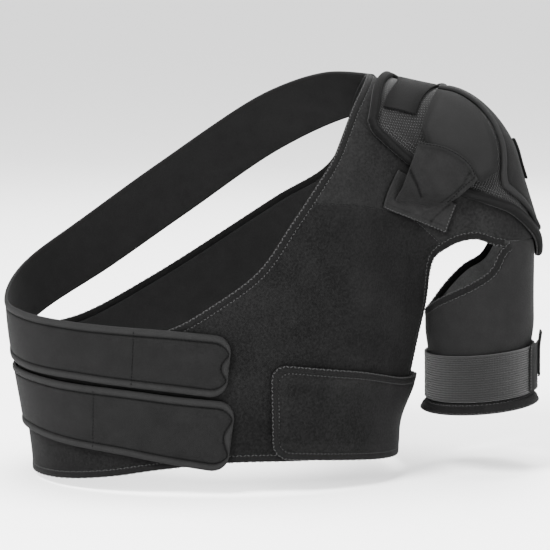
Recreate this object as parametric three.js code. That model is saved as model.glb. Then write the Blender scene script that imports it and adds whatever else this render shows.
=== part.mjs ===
// A neoprene shoulder brace: a chest wrap over one shoulder, two straps, an arm sleeve and an overlay cap.
// Millimetres, +Z up. The front faces -Y and the braced arm is on +X.
// The origin is the seat on top of the braced shoulder, on the inner face of the fabric.
import * as THREE from 'three';

// Sizes of the form that the brace is shaped on.
const chestWidth = 350;
const chestDepth = 236;
const waistWidth = 320;
const waistDepth = 212;
const waistShift = 4;
const wrapHeight = 345;
const armDiameter = 92;
const armGap = 23;

// Fabric thicknesses, and the clearances between layers and between pieces that are sewn edge to edge.
const panelThickness = 3;
const strapThickness = 2.6;
const bandThickness = 2;
const meshThickness = 1.8;
const padThickness = 3.6;
const rimThickness = 4.8;
const tabThickness = 1.8;
const layerGap = 1;
const drapeGap = 1.5;
const capGap = 1.8;
const seamGap = 1.1;
const clipGap = 0.4;

// Widths and lengths of the pieces.
const bindingWidth = 6.5;
const upperStrapWidth = 55;
const lowerStrapWidth = 60;
const strapCorner = 15;
const tabCorner = 14;
const rimWidth = 8.5;
const loopWidth = 36;
const seamDrop = 125;
const sleeveReach = 279;
const sleeveFlare = 4.5;
const sleeveTilt = 4.5;
const bandSqueeze = 2.8;
const armBandWidth = 43;
const armBandDrop = 247;
const keeperWidth = 26;
const keeperHeight = 47;
const keeperTurn = 70;
const pullEndWidth = 16;
const pullEndTurn = 86;
const pullEndRise = 16;
const pullEndHeight = 42;

// Lengths of the mesh faces.
const panelStep = 20;
const bindingStep = 17;

const shoulderReach = chestWidth / 2 + armGap + 0.23 * armDiameter;

// Points in shares of the chest, from its middle, and in shares of the arm, from the seat.
const onBody = (across, deep, up) =>
  new THREE.Vector3(across * chestWidth / 2 - shoulderReach, deep * chestDepth / 2, up * wrapHeight);
const onShoulder = (out, deep, up) => new THREE.Vector3(out, deep, up).multiplyScalar(armDiameter);

// The form is a field: about the distance outside the surface, and negative inside it.
const smoothUnion = (a, b, radius) => {
  const overlap = Math.max(radius - Math.abs(a - b), 0) / radius;
  return Math.min(a, b) - overlap * overlap * radius / 4;
};

const capsule = (point, { from, to, fromRadius, toRadius }) => {
  const axis = to.clone().sub(from);
  const offset = point.clone().sub(from);
  const share = THREE.MathUtils.clamp(offset.dot(axis) / axis.lengthSq(), 0, 1);
  return offset.addScaledVector(axis, -share).length() - THREE.MathUtils.lerp(fromRadius, toRadius, share);
};

const armRadius = armDiameter / 2;
const elbowEnd = new THREE.Vector3(0.295 * armDiameter, 0.02 * armDiameter, -sleeveReach - armRadius);
const ridge = {
  from: onBody(0.28, 0.19, -0.085), to: onShoulder(-0.15, 0.02, -0.5),
  fromRadius: 1.12 * armRadius, toRadius: armRadius,
};
const underarm = {
  from: onShoulder(-0.47, 0.02, -1.25), to: onBody(0.85, 0.02, -0.7),
  fromRadius: 0.72 * armRadius, toRadius: 0.44 * armRadius,
};
const deltoid = {
  from: onShoulder(0.09, 0.02, -0.76), to: onShoulder(0.27, 0.02, -1.45),
  fromRadius: 0.92 * armRadius, toRadius: armRadius,
};
const lowerArm = { from: deltoid.to, to: elbowEnd, fromRadius: armRadius, toRadius: armRadius };
const blendRadius = 0.87 * armRadius;
const shoulderBlend = 0.5 * armRadius;

const chestField = (point) => {
  const chestShare = THREE.MathUtils.smoothstep(point.z, -wrapHeight, -0.5 * wrapHeight);
  const halfWidth = THREE.MathUtils.lerp(waistWidth, chestWidth, chestShare) / 2;
  const halfDepth = THREE.MathUtils.lerp(waistDepth, chestDepth, chestShare) / 2;
  const across = Math.abs(point.x + shoulderReach - waistShift * (1 - chestShare)) / halfWidth;
  const deep = Math.abs(point.y) / halfDepth;
  const high = Math.max(0, point.z / wrapHeight + 0.49) / 0.62;
  const round = (across ** 2.3 + deep ** 2.3) ** (2.4 / 2.3);
  const chest = ((round + high ** 2.4) ** (1 / 2.4) - 1) * halfDepth;
  return smoothUnion(smoothUnion(chest, capsule(point, underarm), blendRadius), capsule(point, ridge), blendRadius);
};
const bodyField = (point) => smoothUnion(chestField(point), capsule(point, deltoid), shoulderBlend);
// About the arm's opening the fabric follows the chest below and the shoulder above.
const openingField = (point) => THREE.MathUtils.lerp(
  chestField(point), bodyField(point), THREE.MathUtils.smoothstep(point.z, -1.8 * armDiameter, -1.46 * armDiameter));
// The arm band draws the sleeve in, and below it the sleeve flares.
const armField = (point) => {
  const drop = sleeveTilt * (point.x - deltoid.to.x) / armRadius - point.z;
  const drawnIn = bandSqueeze * THREE.MathUtils.smoothstep(drop, armBandDrop - armBandWidth, armBandDrop - armBandWidth / 3);
  const flare = (bandSqueeze + sleeveFlare) * THREE.MathUtils.smoothstep(drop, armBandDrop + armBandWidth / 2, sleeveReach);
  return Math.min(capsule(point, deltoid), capsule(point, lowerArm)) + drawnIn - flare;
};

const slopeOf = (field, point) => {
  const slope = new THREE.Vector3();
  for (const axis of ['x', 'y', 'z']) {
    const ahead = point.clone();
    const behind = point.clone();
    ahead[axis] += 0.5;
    behind[axis] -= 0.5;
    slope[axis] = field(ahead) - field(behind);
  }
  return slope;
};

// A spot is a point moved onto a field's surface, with the outward direction there.
const settle = (point, field = bodyField) => {
  const at = point.clone();
  for (let turn = 0; turn < 8; turn += 1) {
    const slope = slopeOf(field, at);
    at.addScaledVector(slope, -field(at) / slope.lengthSq());
  }
  return { at, out: slopeOf(field, at).normalize() };
};
const settled = (point, field) => settle(point, field).at;

// Lines on the form, and points spaced evenly along them.
const smoothLine = (points, closed = false, field = bodyField) =>
  new THREE.CatmullRomCurve3(points.map((point) => settled(point, field)), closed, 'centripetal');
const pointAt = (line, share) => line.getPointAt(line.closed ? THREE.MathUtils.euclideanModulo(share, 1) : share);
const spaced = (line, count, from = 0, to = 1) =>
  Array.from({ length: count + 1 }, (_, i) => pointAt(line, THREE.MathUtils.lerp(from, to, i / count)));
const shareNear = (line, point) => {
  const spots = line.getSpacedPoints(500);
  const distances = spots.map((spot) => spot.distanceTo(point));
  return distances.indexOf(Math.min(...distances)) / 500;
};
const stepsFor = (length, step) => Math.max(1, Math.round(length / step));

// Points moved over the surface, square to their line: to its left, seen from outside with the line going up.
const shifted = (points, distance, closed = false, field = chestField) => points.map((point, i) => {
  const last = points.length - 1;
  const before = points[i > 0 ? i - 1 : (closed ? last : 0)];
  const after = points[i < last ? i + 1 : (closed ? 0 : last)];
  const left = settle(point, field).out.cross(after.clone().sub(before).normalize());
  return point.clone().addScaledVector(left, distance);
});

// Rows of spots between four edges that meet at their corners. Inside they lie on the chest, and near an edge that
// stands off the chest they rise to that edge.
const edgeRise = 5;
const fill = (bottom, top, start, end) => {
  const between = (u, v, low, high, left, right, power) => {
    const [nearLeft, nearRight] = [(1 - u) ** power, u ** power];
    const [nearLow, nearHigh] = [(1 - v) ** power, v ** power];
    return low.clone().multiplyScalar(nearLow).addScaledVector(high, nearHigh)
      .addScaledVector(left.at, nearLeft).addScaledVector(right.at, nearRight)
      .addScaledVector(left.low, -nearLeft * nearLow).addScaledVector(left.high, -nearLeft * nearHigh)
      .addScaledVector(right.low, -nearRight * nearLow).addScaledVector(right.high, -nearRight * nearHigh);
  };
  const blend = (edges, row, column, power) => {
    const [low, high, left, right] = edges;
    return between(
      column / (low.length - 1), row / (left.length - 1), low[column], high[column],
      { at: left[row], low: low[0], high: high[0] }, { at: right[row], low: low.at(-1), high: high.at(-1) }, power,
    );
  };
  const edges = [bottom, top, start, end];
  const rises = edges.map((edge) => edge.map((point) => point.clone().sub(settled(point, chestField))));
  return start.map((_, row) => bottom.map((__, column) => {
    const at = settled(blend(edges, row, column, 1), chestField).add(blend(rises, row, column, edgeRise));
    return { at, out: settle(at, openingField).out };
  }));
};

// Rows of spots through lines that have the same number of points.
const loft = (lines, steps, field = bodyField) => {
  const rails = lines[0].map((_, i) =>
    new THREE.CatmullRomCurve3(lines.map((line) => line[i]), false, 'centripetal'));
  return Array.from({ length: steps + 1 }, (_, row) => rails.map((rail) => settle(rail.getPoint(row / steps), field)));
};

const closedGeometry = (positions, index) => {
  const geometry = new THREE.BufferGeometry();
  geometry.setAttribute('position', new THREE.Float32BufferAttribute(positions, 3));
  const corner = (i) => new THREE.Vector3().fromArray(positions, 3 * i);
  let volume = 0;
  for (let i = 0; i < index.length; i += 3) {
    volume += corner(index[i]).dot(corner(index[i + 1]).cross(corner(index[i + 2])));
  }
  geometry.setIndex(volume < 0 ? index.reverse() : index);
  geometry.computeVertexNormals();
  return geometry;
};

// A closed solid from rows of spots. Its inner face lies `inner` outside the form and its outer face `thickness`
// further out; either may be a function of the row and the column.
const sheet = (rows, inner, thickness, ring = false) => {
  const read = (value, row, column) => (typeof value === 'function' ? value(row, column) : value);
  const height = rows.length;
  const width = rows[0].length;
  const positions = [0, 1].flatMap((side) => rows.flatMap((row, r) => row.flatMap(({ at, out }, c) => {
    const offset = read(inner, r, c) + side * read(thickness, r, c);
    return at.clone().addScaledVector(out, offset).toArray();
  })));
  const spot = (side, r, c) => side * height * width + r * width + (c % width);
  const index = [];
  const quad = (a, b, c, d) => index.push(a, b, c, a, c, d);
  const lastColumn = ring ? width : width - 1;
  for (let c = 0; c < lastColumn; c += 1) {
    for (let r = 0; r < height - 1; r += 1) {
      quad(spot(1, r, c), spot(1, r, c + 1), spot(1, r + 1, c + 1), spot(1, r + 1, c));
      quad(spot(0, r, c), spot(0, r + 1, c), spot(0, r + 1, c + 1), spot(0, r, c + 1));
    }
    quad(spot(0, 0, c), spot(0, 0, c + 1), spot(1, 0, c + 1), spot(1, 0, c));
    quad(spot(0, height - 1, c), spot(1, height - 1, c), spot(1, height - 1, c + 1), spot(0, height - 1, c + 1));
  }
  for (let r = 0; r < height - 1 && !ring; r += 1) {
    quad(spot(0, r, 0), spot(1, r, 0), spot(1, r + 1, 0), spot(0, r + 1, 0));
    quad(spot(0, r, lastColumn), spot(0, r + 1, lastColumn), spot(1, r + 1, lastColumn), spot(1, r, lastColumn));
  }
  return closedGeometry(positions, index);
};

const colours = {
  loopFabric: 0x2d2d2d, strapFabric: 0x353535, sleeveFabric: 0x3f3f3f, binding: 0x3b3b3b,
  mesh: 0x383838, padFabric: 0x434343, elastic: 0x4a4a4a, hookTape: 0x262626, pullTab: 0x3d3d3d,
};
const brace = new THREE.Group();
const add = (name, geometry, finish, roughness = 0.9) => {
  const material = new THREE.MeshStandardMaterial({ color: colours[finish], roughness, metalness: 0 });
  const mesh = new THREE.Mesh(geometry, material);
  mesh.name = name;
  brace.add(mesh);
};

// The outer edges of the wrap. The neck edge starts at the side seam and goes over the front, the shoulder and back.
const neckEdge = smoothLine([
  onBody(-1.0, 0, -0.615), onBody(-0.69, -0.75, -0.603), onBody(-0.4, -0.91, -0.588), onBody(-0.14, -0.98, -0.548),
  onBody(0.03, -1.0, -0.498), onBody(0.26, -0.98, -0.412), onBody(0.42, -0.91, -0.297), onBody(0.55, -0.79, -0.2),
  onBody(0.62, -0.71, -0.148), onBody(0.73, -0.41, -0.02), onBody(0.78, -0.25, 0.026), onBody(0.81, 0.04, 0.05),
  onBody(0.75, 0.42, -0.015), onBody(0.64, 0.75, -0.19), onBody(0.34, 0.94, -0.296), onBody(-0.32, 0.97, -0.513),
  onBody(-0.7, 0.76, -0.61),
], true);
const hemEdge = smoothLine([
  onBody(0.99, -0.12, -0.922), onBody(0.71, -0.64, -0.901), onBody(0.46, -0.82, -0.896), onBody(0.11, -0.91, -0.896),
  onBody(-0.23, -0.9, -0.916), onBody(-0.47, -0.81, -0.939), onBody(-0.69, -0.59, -0.957), onBody(-0.89, 0, -0.968),
  onBody(-0.69, 0.64, -0.962), onBody(-0.29, 0.89, -0.951), onBody(0.17, 0.91, -0.942), onBody(0.62, 0.73, -0.936),
  onBody(0.87, 0.42, -0.933), onBody(0.98, 0.22, -0.93),
]);

const seamLevel = -(seamDrop + bindingWidth + seamGap) / armDiameter;
const armholeEdge = smoothLine([
  onBody(0.99, -0.12, -0.922), onBody(1.03, -0.13, -0.76), onBody(1.08, -0.14, -0.62),
  onShoulder(-0.26, -0.17, -2.01), onShoulder(-0.24, -0.23, -1.75), onShoulder(-0.2, -0.31, -1.56),
  onShoulder(-0.08, -0.38, -1.44), onShoulder(0.04, -0.43, -1.37), onShoulder(0.2, -0.48, -1.34),
  onShoulder(0.37, -0.47, -1.4), onShoulder(0.66, -0.3, seamLevel), onShoulder(0.79, 0.02, seamLevel),
  onShoulder(0.66, 0.34, seamLevel), onShoulder(0.37, 0.51, -1.41), onShoulder(0.17, 0.5, -1.37),
  onShoulder(-0.04, 0.46, -1.43), onShoulder(-0.2, 0.35, -1.65), onShoulder(-0.28, 0.28, -2.02),
  onBody(1.05, 0.2, -0.68), onBody(0.98, 0.22, -0.93),
], false, openingField);

// The panels' own edges lie inside the bindings.
const besideBinding = bindingWidth + seamGap;
const movedLine = (line, distance, field) => {
  const points = spaced(line, 80).slice(0, line.closed ? -1 : undefined).map((point) => settled(point, field));
  const moved = shifted(points, distance, line.closed, field).map((point) => settled(point, field));
  return new THREE.CatmullRomCurve3(moved, line.closed, 'centripetal');
};
const neckFabric = movedLine(neckEdge, -besideBinding, bodyField);
const hemFabric = movedLine(hemEdge, -besideBinding, chestField);
const armholeFabric = movedLine(armholeEdge, besideBinding, openingField);

const sideOnHem = shareNear(hemFabric, settled(onBody(-0.89, 0, -0.968)));
const frontCorner = shareNear(neckFabric, settled(onBody(0.54, -0.84, -0.255)));
const backCorner = shareNear(neckFabric, settled(onBody(0.54, 0.84, -0.235)));
const armFront = shareNear(armholeFabric, settled(onShoulder(-0.12, -0.35, -1.42)));
const armBack = shareNear(armholeFabric, settled(onShoulder(-0.12, 0.42, -1.45)));

// Over the shoulder: the yoke, from the seam in front to the seam behind.
const overShoulder = 18;
const acrossShoulder = 14;
const yokeRows = loft([
  spaced(neckFabric, overShoulder, frontCorner, backCorner),
  spaced(smoothLine([
    onShoulder(-0.87, -0.76, -1.01), onShoulder(-0.62, -0.54, -0.4), onShoulder(-0.33, 0.03, 0.08),
    onShoulder(-0.62, 0.54, -0.4), onShoulder(-0.87, 0.8, -1.01),
  ]), overShoulder),
  spaced(smoothLine([
    onShoulder(-0.43, -0.46, -1.15), onShoulder(-0.05, -0.53, -0.67), onShoulder(0.45, 0, -0.4),
    onShoulder(-0.05, 0.53, -0.67), onShoulder(-0.43, 0.5, -1.15),
  ]), overShoulder),
  spaced(armholeFabric, overShoulder, armFront, armBack),
], acrossShoulder);
add('shoulder_yoke', sheet(yokeRows, 0, panelThickness), 'strapFabric');

// The front and back panels, between the hem, the side seam, the neck edge, the yoke's seams and the armhole.
const panelRows = 10;
const sideSeam = Array.from({ length: panelRows + 1 }, (_, i) =>
  settled(pointAt(hemFabric, sideOnHem).lerp(pointAt(neckFabric, 0), i / panelRows)));

const wrapPanel = ({ side, neckFrom, neckTo, seam, hemSplit, hemEnd, armholeFrom, armholeTo }) => {
  const start = shifted(sideSeam, side * seamGap / 2);
  const neckLength = neckFabric.getLength() * Math.abs(neckTo - neckFrom);
  const neckSteps = stepsFor(neckLength, panelStep);
  const top = [...spaced(neckFabric, neckSteps, neckFrom, neckTo), ...shifted(seam, side * seamGap).slice(1)];
  const bottom = [
    ...spaced(hemFabric, neckSteps, sideOnHem, hemSplit),
    ...spaced(hemFabric, seam.length - 1, hemSplit, hemEnd).slice(1),
  ];
  const end = spaced(armholeFabric, panelRows, armholeFrom, armholeTo);
  top[0] = start.at(-1);
  bottom[0] = start[0];
  end[0] = bottom.at(-1);
  top[top.length - 1] = end.at(-1);
  return fill(bottom, top, start, end);
};
const hemLength = hemEdge.getLength();
const armholeLength = armholeEdge.getLength();
const frontSeam = yokeRows.map((row) => row[0].at);
const backSeam = yokeRows.map((row) => row.at(-1).at);
const frontRows = wrapPanel({
  side: -1, neckFrom: 0, neckTo: frontCorner, seam: frontSeam,
  hemSplit: shareNear(hemFabric, settled(onBody(0.5, -0.8, -0.9))), hemEnd: besideBinding / hemLength,
  armholeFrom: besideBinding / armholeLength, armholeTo: armFront,
});
const backRows = wrapPanel({
  side: 1, neckFrom: 1, neckTo: backCorner, seam: backSeam,
  hemSplit: shareNear(hemFabric, settled(onBody(0.5, 0.8, -0.94))), hemEnd: 1 - besideBinding / hemLength,
  armholeFrom: 1 - besideBinding / armholeLength, armholeTo: armBack,
});
add('front_panel', sheet(frontRows, 0, panelThickness), 'loopFabric', 0.95);
add('back_panel', sheet(backRows, 0, panelThickness), 'loopFabric', 0.95);

// Bindings: a strip along an outer edge, as wide as its distance from the panels' edges.
const bindingProud = 0.3;
const strip = (outer, inner, ring = false, field = chestField) => {
  const rows = [outer, inner].map((points) => points.map((at) => ({ at, out: settle(at, field).out })));
  return sheet(rows, -bindingProud, panelThickness + 2 * bindingProud, ring);
};
const bindingAlong = (name, line, inward, from, to, field) => {
  const points = spaced(line, stepsFor(line.getLength() * (to - from), bindingStep), from, to);
  const outer = (line.closed ? points.slice(0, -1) : points).map((point) => settled(point, field));
  const inner = shifted(outer, inward * bindingWidth, line.closed, field).map((point) => settled(point, field));
  add(name, strip(outer, inner, line.closed, field), 'binding');
};
bindingAlong('neck_binding', neckEdge, -1, 0, 1, bodyField);
bindingAlong('hem_binding', hemEdge, -1, 0, 1, chestField);
const sleeveFront = shareNear(armholeEdge, settled(onShoulder(0.36, -0.47, -1.4)));
const sleeveBack = shareNear(armholeEdge, settled(onShoulder(0.36, 0.51, -1.41)));
bindingAlong('armhole_binding_front', armholeEdge, 1, 2 * besideBinding / armholeLength, sleeveFront, openingField);
bindingAlong('armhole_binding_back', armholeEdge, 1, sleeveBack, 1 - 2 * besideBinding / armholeLength, openingField);

// Straps and tabs: rows across, between two long edges that draw together round the corners of the free end.
const overPanel = panelThickness + drapeGap;
const endShares = [1, 0.62, 0.28, 0.07, 0];
const cornerCut = (corner, fromEnd) => (fromEnd < corner ? corner - Math.sqrt(corner ** 2 - (corner - fromEnd) ** 2) : 0);
const runTo = (length, corner, count) => {
  const straight = length - corner;
  return [
    ...Array.from({ length: count }, (_, i) => straight * i / count),
    ...endShares.map((share) => length - corner * share),
  ];
};
const across = (low, high, count, field) => Array.from({ length: count + 1 }, (_, row) =>
  low.map((point, i) => settle(point.clone().lerp(high[i], row / count), field)));

const strap = (path, width, { corner, step, rows, field = chestField }) => {
  const line = smoothLine(path.map(([point]) => point), false, field);
  const length = line.getLength();
  const runs = runTo(length, corner, stepsFor(length - corner, step));
  const centre = runs.map((run) => settled(line.getPointAt(Math.min(1, run / length)), field));
  const halves = runs.map((run) => {
    const place = line.getUtoTmapping(Math.min(1, run / length)) * (path.length - 1);
    const before = Math.min(Math.floor(place), path.length - 2);
    const share = THREE.MathUtils.lerp(path[before][1], path[before + 1][1], place - before);
    return width * share / 2 - cornerCut(corner, length - run);
  });
  const side = (sign) => centre.map((point, i) => {
    const neighbours = [centre[Math.max(0, i - 1)], centre[Math.min(centre.length - 1, i + 1)]];
    const left = settle(point, field).out.cross(neighbours[1].clone().sub(neighbours[0]).normalize());
    return settled(point.clone().addScaledVector(left, sign * halves[i]), field);
  });
  return across(side(-1), side(1), rows, field);
};

// Each row of a strap's path is a point of its middle and its width there, as a share.
const upperStrapPath = [
  [onShoulder(-0.68, 0.43, 0), 0.86], [onBody(0.68, 0.57, -0.009), 0.93], [onBody(0.35, 0.81, -0.081), 0.97],
  [onBody(-0.21, 0.95, -0.276), 1], [onBody(-0.63, 0.82, -0.427), 1], [onBody(-0.94, 0.36, -0.54), 0.93],
  [onBody(-1.0, -0.07, -0.584), 0.85], [onBody(-0.87, -0.51, -0.601), 0.88], [onBody(-0.6, -0.82, -0.615), 0.92],
  [onBody(-0.19, -0.98, -0.631), 0.97], [onBody(0.12, -0.98, -0.648), 1],
];
const lowerStrapPath = [
  [onBody(0.68, 0.78, -0.667), 1], [onBody(0.17, 0.97, -0.71), 1], [onBody(-0.31, 0.92, -0.748), 0.97],
  [onBody(-0.71, 0.64, -0.76), 0.92], [onBody(-0.94, 0.04, -0.765), 0.9], [onBody(-0.86, -0.42, -0.766), 0.92],
  [onBody(-0.67, -0.69, -0.778), 0.95], [onBody(-0.4, -0.87, -0.791), 0.98], [onBody(-0.14, -0.93, -0.81), 1.02],
  [onBody(0.13, -0.94, -0.828), 1.07],
];
const strapShape = { corner: strapCorner, step: panelStep, rows: 3 };
add('upper_strap', sheet(strap(upperStrapPath, upperStrapWidth, strapShape), overPanel, strapThickness), 'strapFabric');
add('lower_strap', sheet(strap(lowerStrapPath, lowerStrapWidth, strapShape), overPanel, strapThickness), 'strapFabric');

// The side tab leaves the underarm seam level with the back panel and climbs onto the front panel.
const tabTop = smoothLine([
  onBody(1.0, 0.17, -0.724), onBody(1.02, -0.05, -0.72), onBody(0.93, -0.33, -0.71), onBody(0.75, -0.68, -0.675),
  onBody(0.53, -0.87, -0.655), onBody(0.32, -0.95, -0.64),
], false, chestField);
const tabBottom = smoothLine([
  onBody(0.98, 0.17, -0.93), onBody(0.99, -0.05, -0.93), onBody(0.92, -0.28, -0.925), onBody(0.72, -0.64, -0.905),
  onBody(0.52, -0.82, -0.893), onBody(0.33, -0.9, -0.885),
], false, chestField);
const tabClimb = 24;
const tabSteps = 10;
const climbing = (runs) => (row, column) => overPanel * THREE.MathUtils.smoothstep(runs[column], 0, tabClimb);
const tabEdges = (inset) => {
  const length = tabTop.getLength();
  const runs = runTo(length - inset, tabCorner - inset * 0.5, tabSteps);
  const pick = (line) => runs.map((run) => line.getPointAt(Math.min(1, run / length)));
  const [top, bottom] = [pick(tabTop), pick(tabBottom)];
  const drawn = (own, other) => own.map((point, i) => {
    const cut = inset + cornerCut(tabCorner - inset * 0.5, length - inset - runs[i]);
    const towards = other[i].clone().sub(point).normalize();
    return settled(point.clone().addScaledVector(towards, cut), chestField);
  });
  return { runs, top: drawn(top, bottom), bottom: drawn(bottom, top) };
};
const tabFabric = tabEdges(besideBinding);
add('side_tab', sheet(across(tabFabric.bottom, tabFabric.top, 5, chestField), climbing(tabFabric.runs), panelThickness),
  'loopFabric', 0.95);
const tabRim = (inset) => {
  const { runs, top, bottom } = tabEdges(inset);
  return { points: [...bottom, ...top.toReversed()], runs: [...runs, ...runs.toReversed()] };
};
const tabRimOuter = tabRim(0);
const tabRimRows = [tabRimOuter.points, tabRim(bindingWidth).points].map((points) =>
  points.map((at) => ({ at, out: settle(at, chestField).out })));
const climb = climbing(tabRimOuter.runs);
add('side_tab_binding', sheet(tabRimRows, (row, column) => climb(row, column) - bindingProud * (climb(row, column) > 0),
  panelThickness + bindingProud), 'binding');

// The sleeve. Its top meets the yoke at the seam on the outer side and is cut away towards the armpit.
const hemAt = (turn) => -sleeveReach + sleeveTilt * Math.sin(THREE.MathUtils.degToRad(turn));
const armColumns = 30;
const armTurns = Array.from({ length: armColumns }, (_, i) => i * 360 / armColumns);
const armSpot = (turn, z) => {
  const angle = THREE.MathUtils.degToRad(turn);
  const share = THREE.MathUtils.clamp((z - deltoid.to.z) / (elbowEnd.z - deltoid.to.z), 0, 1);
  const axis = deltoid.to.clone().lerp(elbowEnd, share);
  return settle(new THREE.Vector3(axis.x + armRadius * Math.sin(angle), axis.y - armRadius * Math.cos(angle), z), armField);
};
// Its cut-away edge, from the seam's back end round the armpit side to the seam's front end.
const freeEdge = new THREE.CatmullRomCurve3([
  { turn: 153, drop: 0.455 }, { turn: 163, drop: 0.48 }, { turn: 174, drop: 0.53 }, { turn: 192, drop: 0.563 },
  { turn: 212, drop: 0.613 }, { turn: 240, drop: 0.677 }, { turn: 270, drop: 0.688 }, { turn: 305, drop: 0.642 },
  { turn: 328, drop: 0.609 }, { turn: 346, drop: 0.581 }, { turn: 366, drop: 0.538 }, { turn: 377, drop: 0.477 },
  { turn: 387, drop: 0.455 },
].map(({ turn, drop }) => armSpot(turn, -drop * sleeveReach).at), false, 'centripetal');
const freeColumns = 20;
const seamColumns = 11;
const freeOuter = spaced(freeEdge, freeColumns);
const freeFabric = shifted(freeOuter, -besideBinding, false, armField).slice(1, -1);
const seamTurns = Array.from({ length: seamColumns + 1 }, (_, i) => THREE.MathUtils.lerp(42, 138, i / seamColumns));
const freeTurns = Array.from({ length: freeColumns - 1 }, (_, i) => THREE.MathUtils.lerp(138, 402, (i + 1) / freeColumns));
const sleeveTop = [...seamTurns.map((turn) => armSpot(turn, -seamDrop - seamGap).at), ...freeFabric];
const sleeveBottom = [...seamTurns, ...freeTurns].map((turn) => armSpot(turn, hemAt(turn) + besideBinding).at);
add('arm_sleeve', sheet(across(sleeveBottom, sleeveTop, 8, armField), 0, panelThickness, true), 'sleeveFabric', 0.8);
add('sleeve_top_binding', strip(freeOuter, shifted(freeOuter, -bindingWidth, false, armField), false, armField), 'binding');

const ringOfSpots = (turns, low, high, rows) => Array.from({ length: rows + 1 }, (_, row) =>
  turns.map((turn) => armSpot(turn, THREE.MathUtils.lerp(low(turn), high(turn), row / rows))));
add('sleeve_hem_binding', sheet(ringOfSpots(armTurns, hemAt, (turn) => hemAt(turn) + bindingWidth, 1),
  -bindingProud, panelThickness + 2 * bindingProud, true), 'binding');

// The elastic arm band, its keeper on the outer side and its stiff pull end.
const bandLow = (turn) => hemAt(turn) + sleeveReach - armBandDrop - armBandWidth / 2;
const bandHigh = (turn) => bandLow(turn) + armBandWidth;
add('arm_band', sheet(ringOfSpots(armTurns, bandLow, bandHigh, 3), overPanel, bandThickness, true), 'elastic', 0.8);
const patchTurns = (middle, width) => {
  const spread = THREE.MathUtils.radToDeg(width / (armRadius + overPanel));
  return Array.from({ length: 5 }, (_, i) => middle + spread * (i / 4 - 0.5));
};
const patchOnArm = (middle, width, height, drop) => ringOfSpots(
  patchTurns(middle, width), () => -drop - height / 2, () => -drop + height / 2, 2);
const overBand = overPanel + bandThickness + layerGap;
add('arm_band_keeper', sheet(patchOnArm(keeperTurn, keeperWidth, keeperHeight, armBandDrop - sleeveTilt),
  overBand, tabThickness), 'hookTape', 0.95);
add('arm_band_end', sheet(patchOnArm(pullEndTurn, pullEndWidth, pullEndHeight, armBandDrop - pullEndRise),
  overBand + tabThickness + clipGap, tabThickness), 'pullTab', 0.7);

// The overlay cap: a surface from the front edge over the shoulder (u) and from the neck side to the outer tip (v).
const capFront = smoothLine([
  onShoulder(-0.87, -0.565, -0.21), onShoulder(-0.83, -0.6, -0.31), onShoulder(-0.72, -0.58, -0.42),
  onShoulder(-0.51, -0.52, -0.59), onShoulder(0.05, -0.51, -0.91), onShoulder(0.3, -0.48, -1.01),
  onShoulder(0.5, -0.38, -1.11), onShoulder(0.72, -0.185, -1.36),
]);
const capMiddle = smoothLine([
  onShoulder(-0.8, -0.22, 0.07), onShoulder(-0.38, 0.0, 0.1), onShoulder(0, 0.02, 0), onShoulder(0.33, 0.02, -0.22),
  onShoulder(0.54, 0.02, -0.6), onShoulder(0.7, 0.02, -1.03), onShoulder(0.82, 0.02, -1.56),
]);
const capBack = smoothLine([
  onShoulder(-0.68, 0.17, 0.13), onShoulder(-0.42, 0.52, -0.2), onShoulder(-0.13, 0.54, -0.67),
  onShoulder(0.3, 0.51, -1.01), onShoulder(0.5, 0.42, -1.11), onShoulder(0.72, 0.22, -1.36),
]);
const capSpot = (u, v) => {
  const rail = new THREE.CatmullRomCurve3([capFront, capMiddle, capBack].map((line) => line.getPointAt(v)));
  return settle(rail.getPoint(u));
};
const capZone = (rows, columns) => rows.map(({ v, from, to }) =>
  Array.from({ length: columns + 1 }, (_, i) => capSpot(THREE.MathUtils.lerp(from, to, i / columns), v)));
const evenRows = (count, from, to) => Array.from({ length: count + 1 }, (_, i) => THREE.MathUtils.lerp(from, to, i / count));

const overYoke = panelThickness + capGap;
const meshRows = evenRows(16, 0, 1).map((v) => ({ v, from: 0, to: 1 }));
add('cap_mesh', sheet(capZone(meshRows, 14), overYoke, meshThickness), 'mesh');
const overMesh = overYoke + meshThickness + layerGap;
const capEdge = [
  ...evenRows(15, 0, 1).map((v) => ({ v, u: 0 })), ...[0.25, 0.5, 0.75].map((u) => ({ v: 1, u })),
  ...evenRows(15, 1, 0).map((v) => ({ v, u: 1 })), ...[0.8, 0.6, 0.4, 0.2].map((u) => ({ v: 0, u })),
];
const capEdgePoints = capEdge.map(({ v, u }) => capSpot(u, v).at);
const capRimRows = [capEdgePoints, shifted(capEdgePoints, rimWidth, true, bodyField)].map((points) => points.map((at) => settle(at)));
add('cap_rim', sheet(capRimRows, overMesh, rimThickness - meshThickness, true), 'binding');

const padRows = [
  { v: 0.27, from: 0.17, to: 0.36 }, { v: 0.33, from: 0.12, to: 0.35 }, { v: 0.4, from: 0.1, to: 0.32 },
  { v: 0.47, from: 0.1, to: 0.28 }, { v: 0.53, from: 0.11, to: 0.24 }, { v: 0.58, from: 0.12, to: 0.19 },
];
add('cap_front_pad', sheet(capZone(padRows, 6), overMesh, padThickness), 'padFabric', 0.8);
const outerRows = [
  { v: 0.27, from: 0.39, to: 0.84 }, { v: 0.33, from: 0.38, to: 0.88 }, { v: 0.4, from: 0.35, to: 0.9 },
  { v: 0.47, from: 0.31, to: 0.9 }, { v: 0.54, from: 0.26, to: 0.9 }, { v: 0.6, from: 0.2, to: 0.89 },
  { v: 0.67, from: 0.15, to: 0.87 }, { v: 0.74, from: 0.16, to: 0.85 }, { v: 0.81, from: 0.19, to: 0.82 },
  { v: 0.88, from: 0.25, to: 0.76 }, { v: 0.92, from: 0.35, to: 0.66 },
];
add('cap_outer_band', sheet(capZone(outerRows, 10), overMesh, strapThickness), 'padFabric', 0.8);
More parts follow.
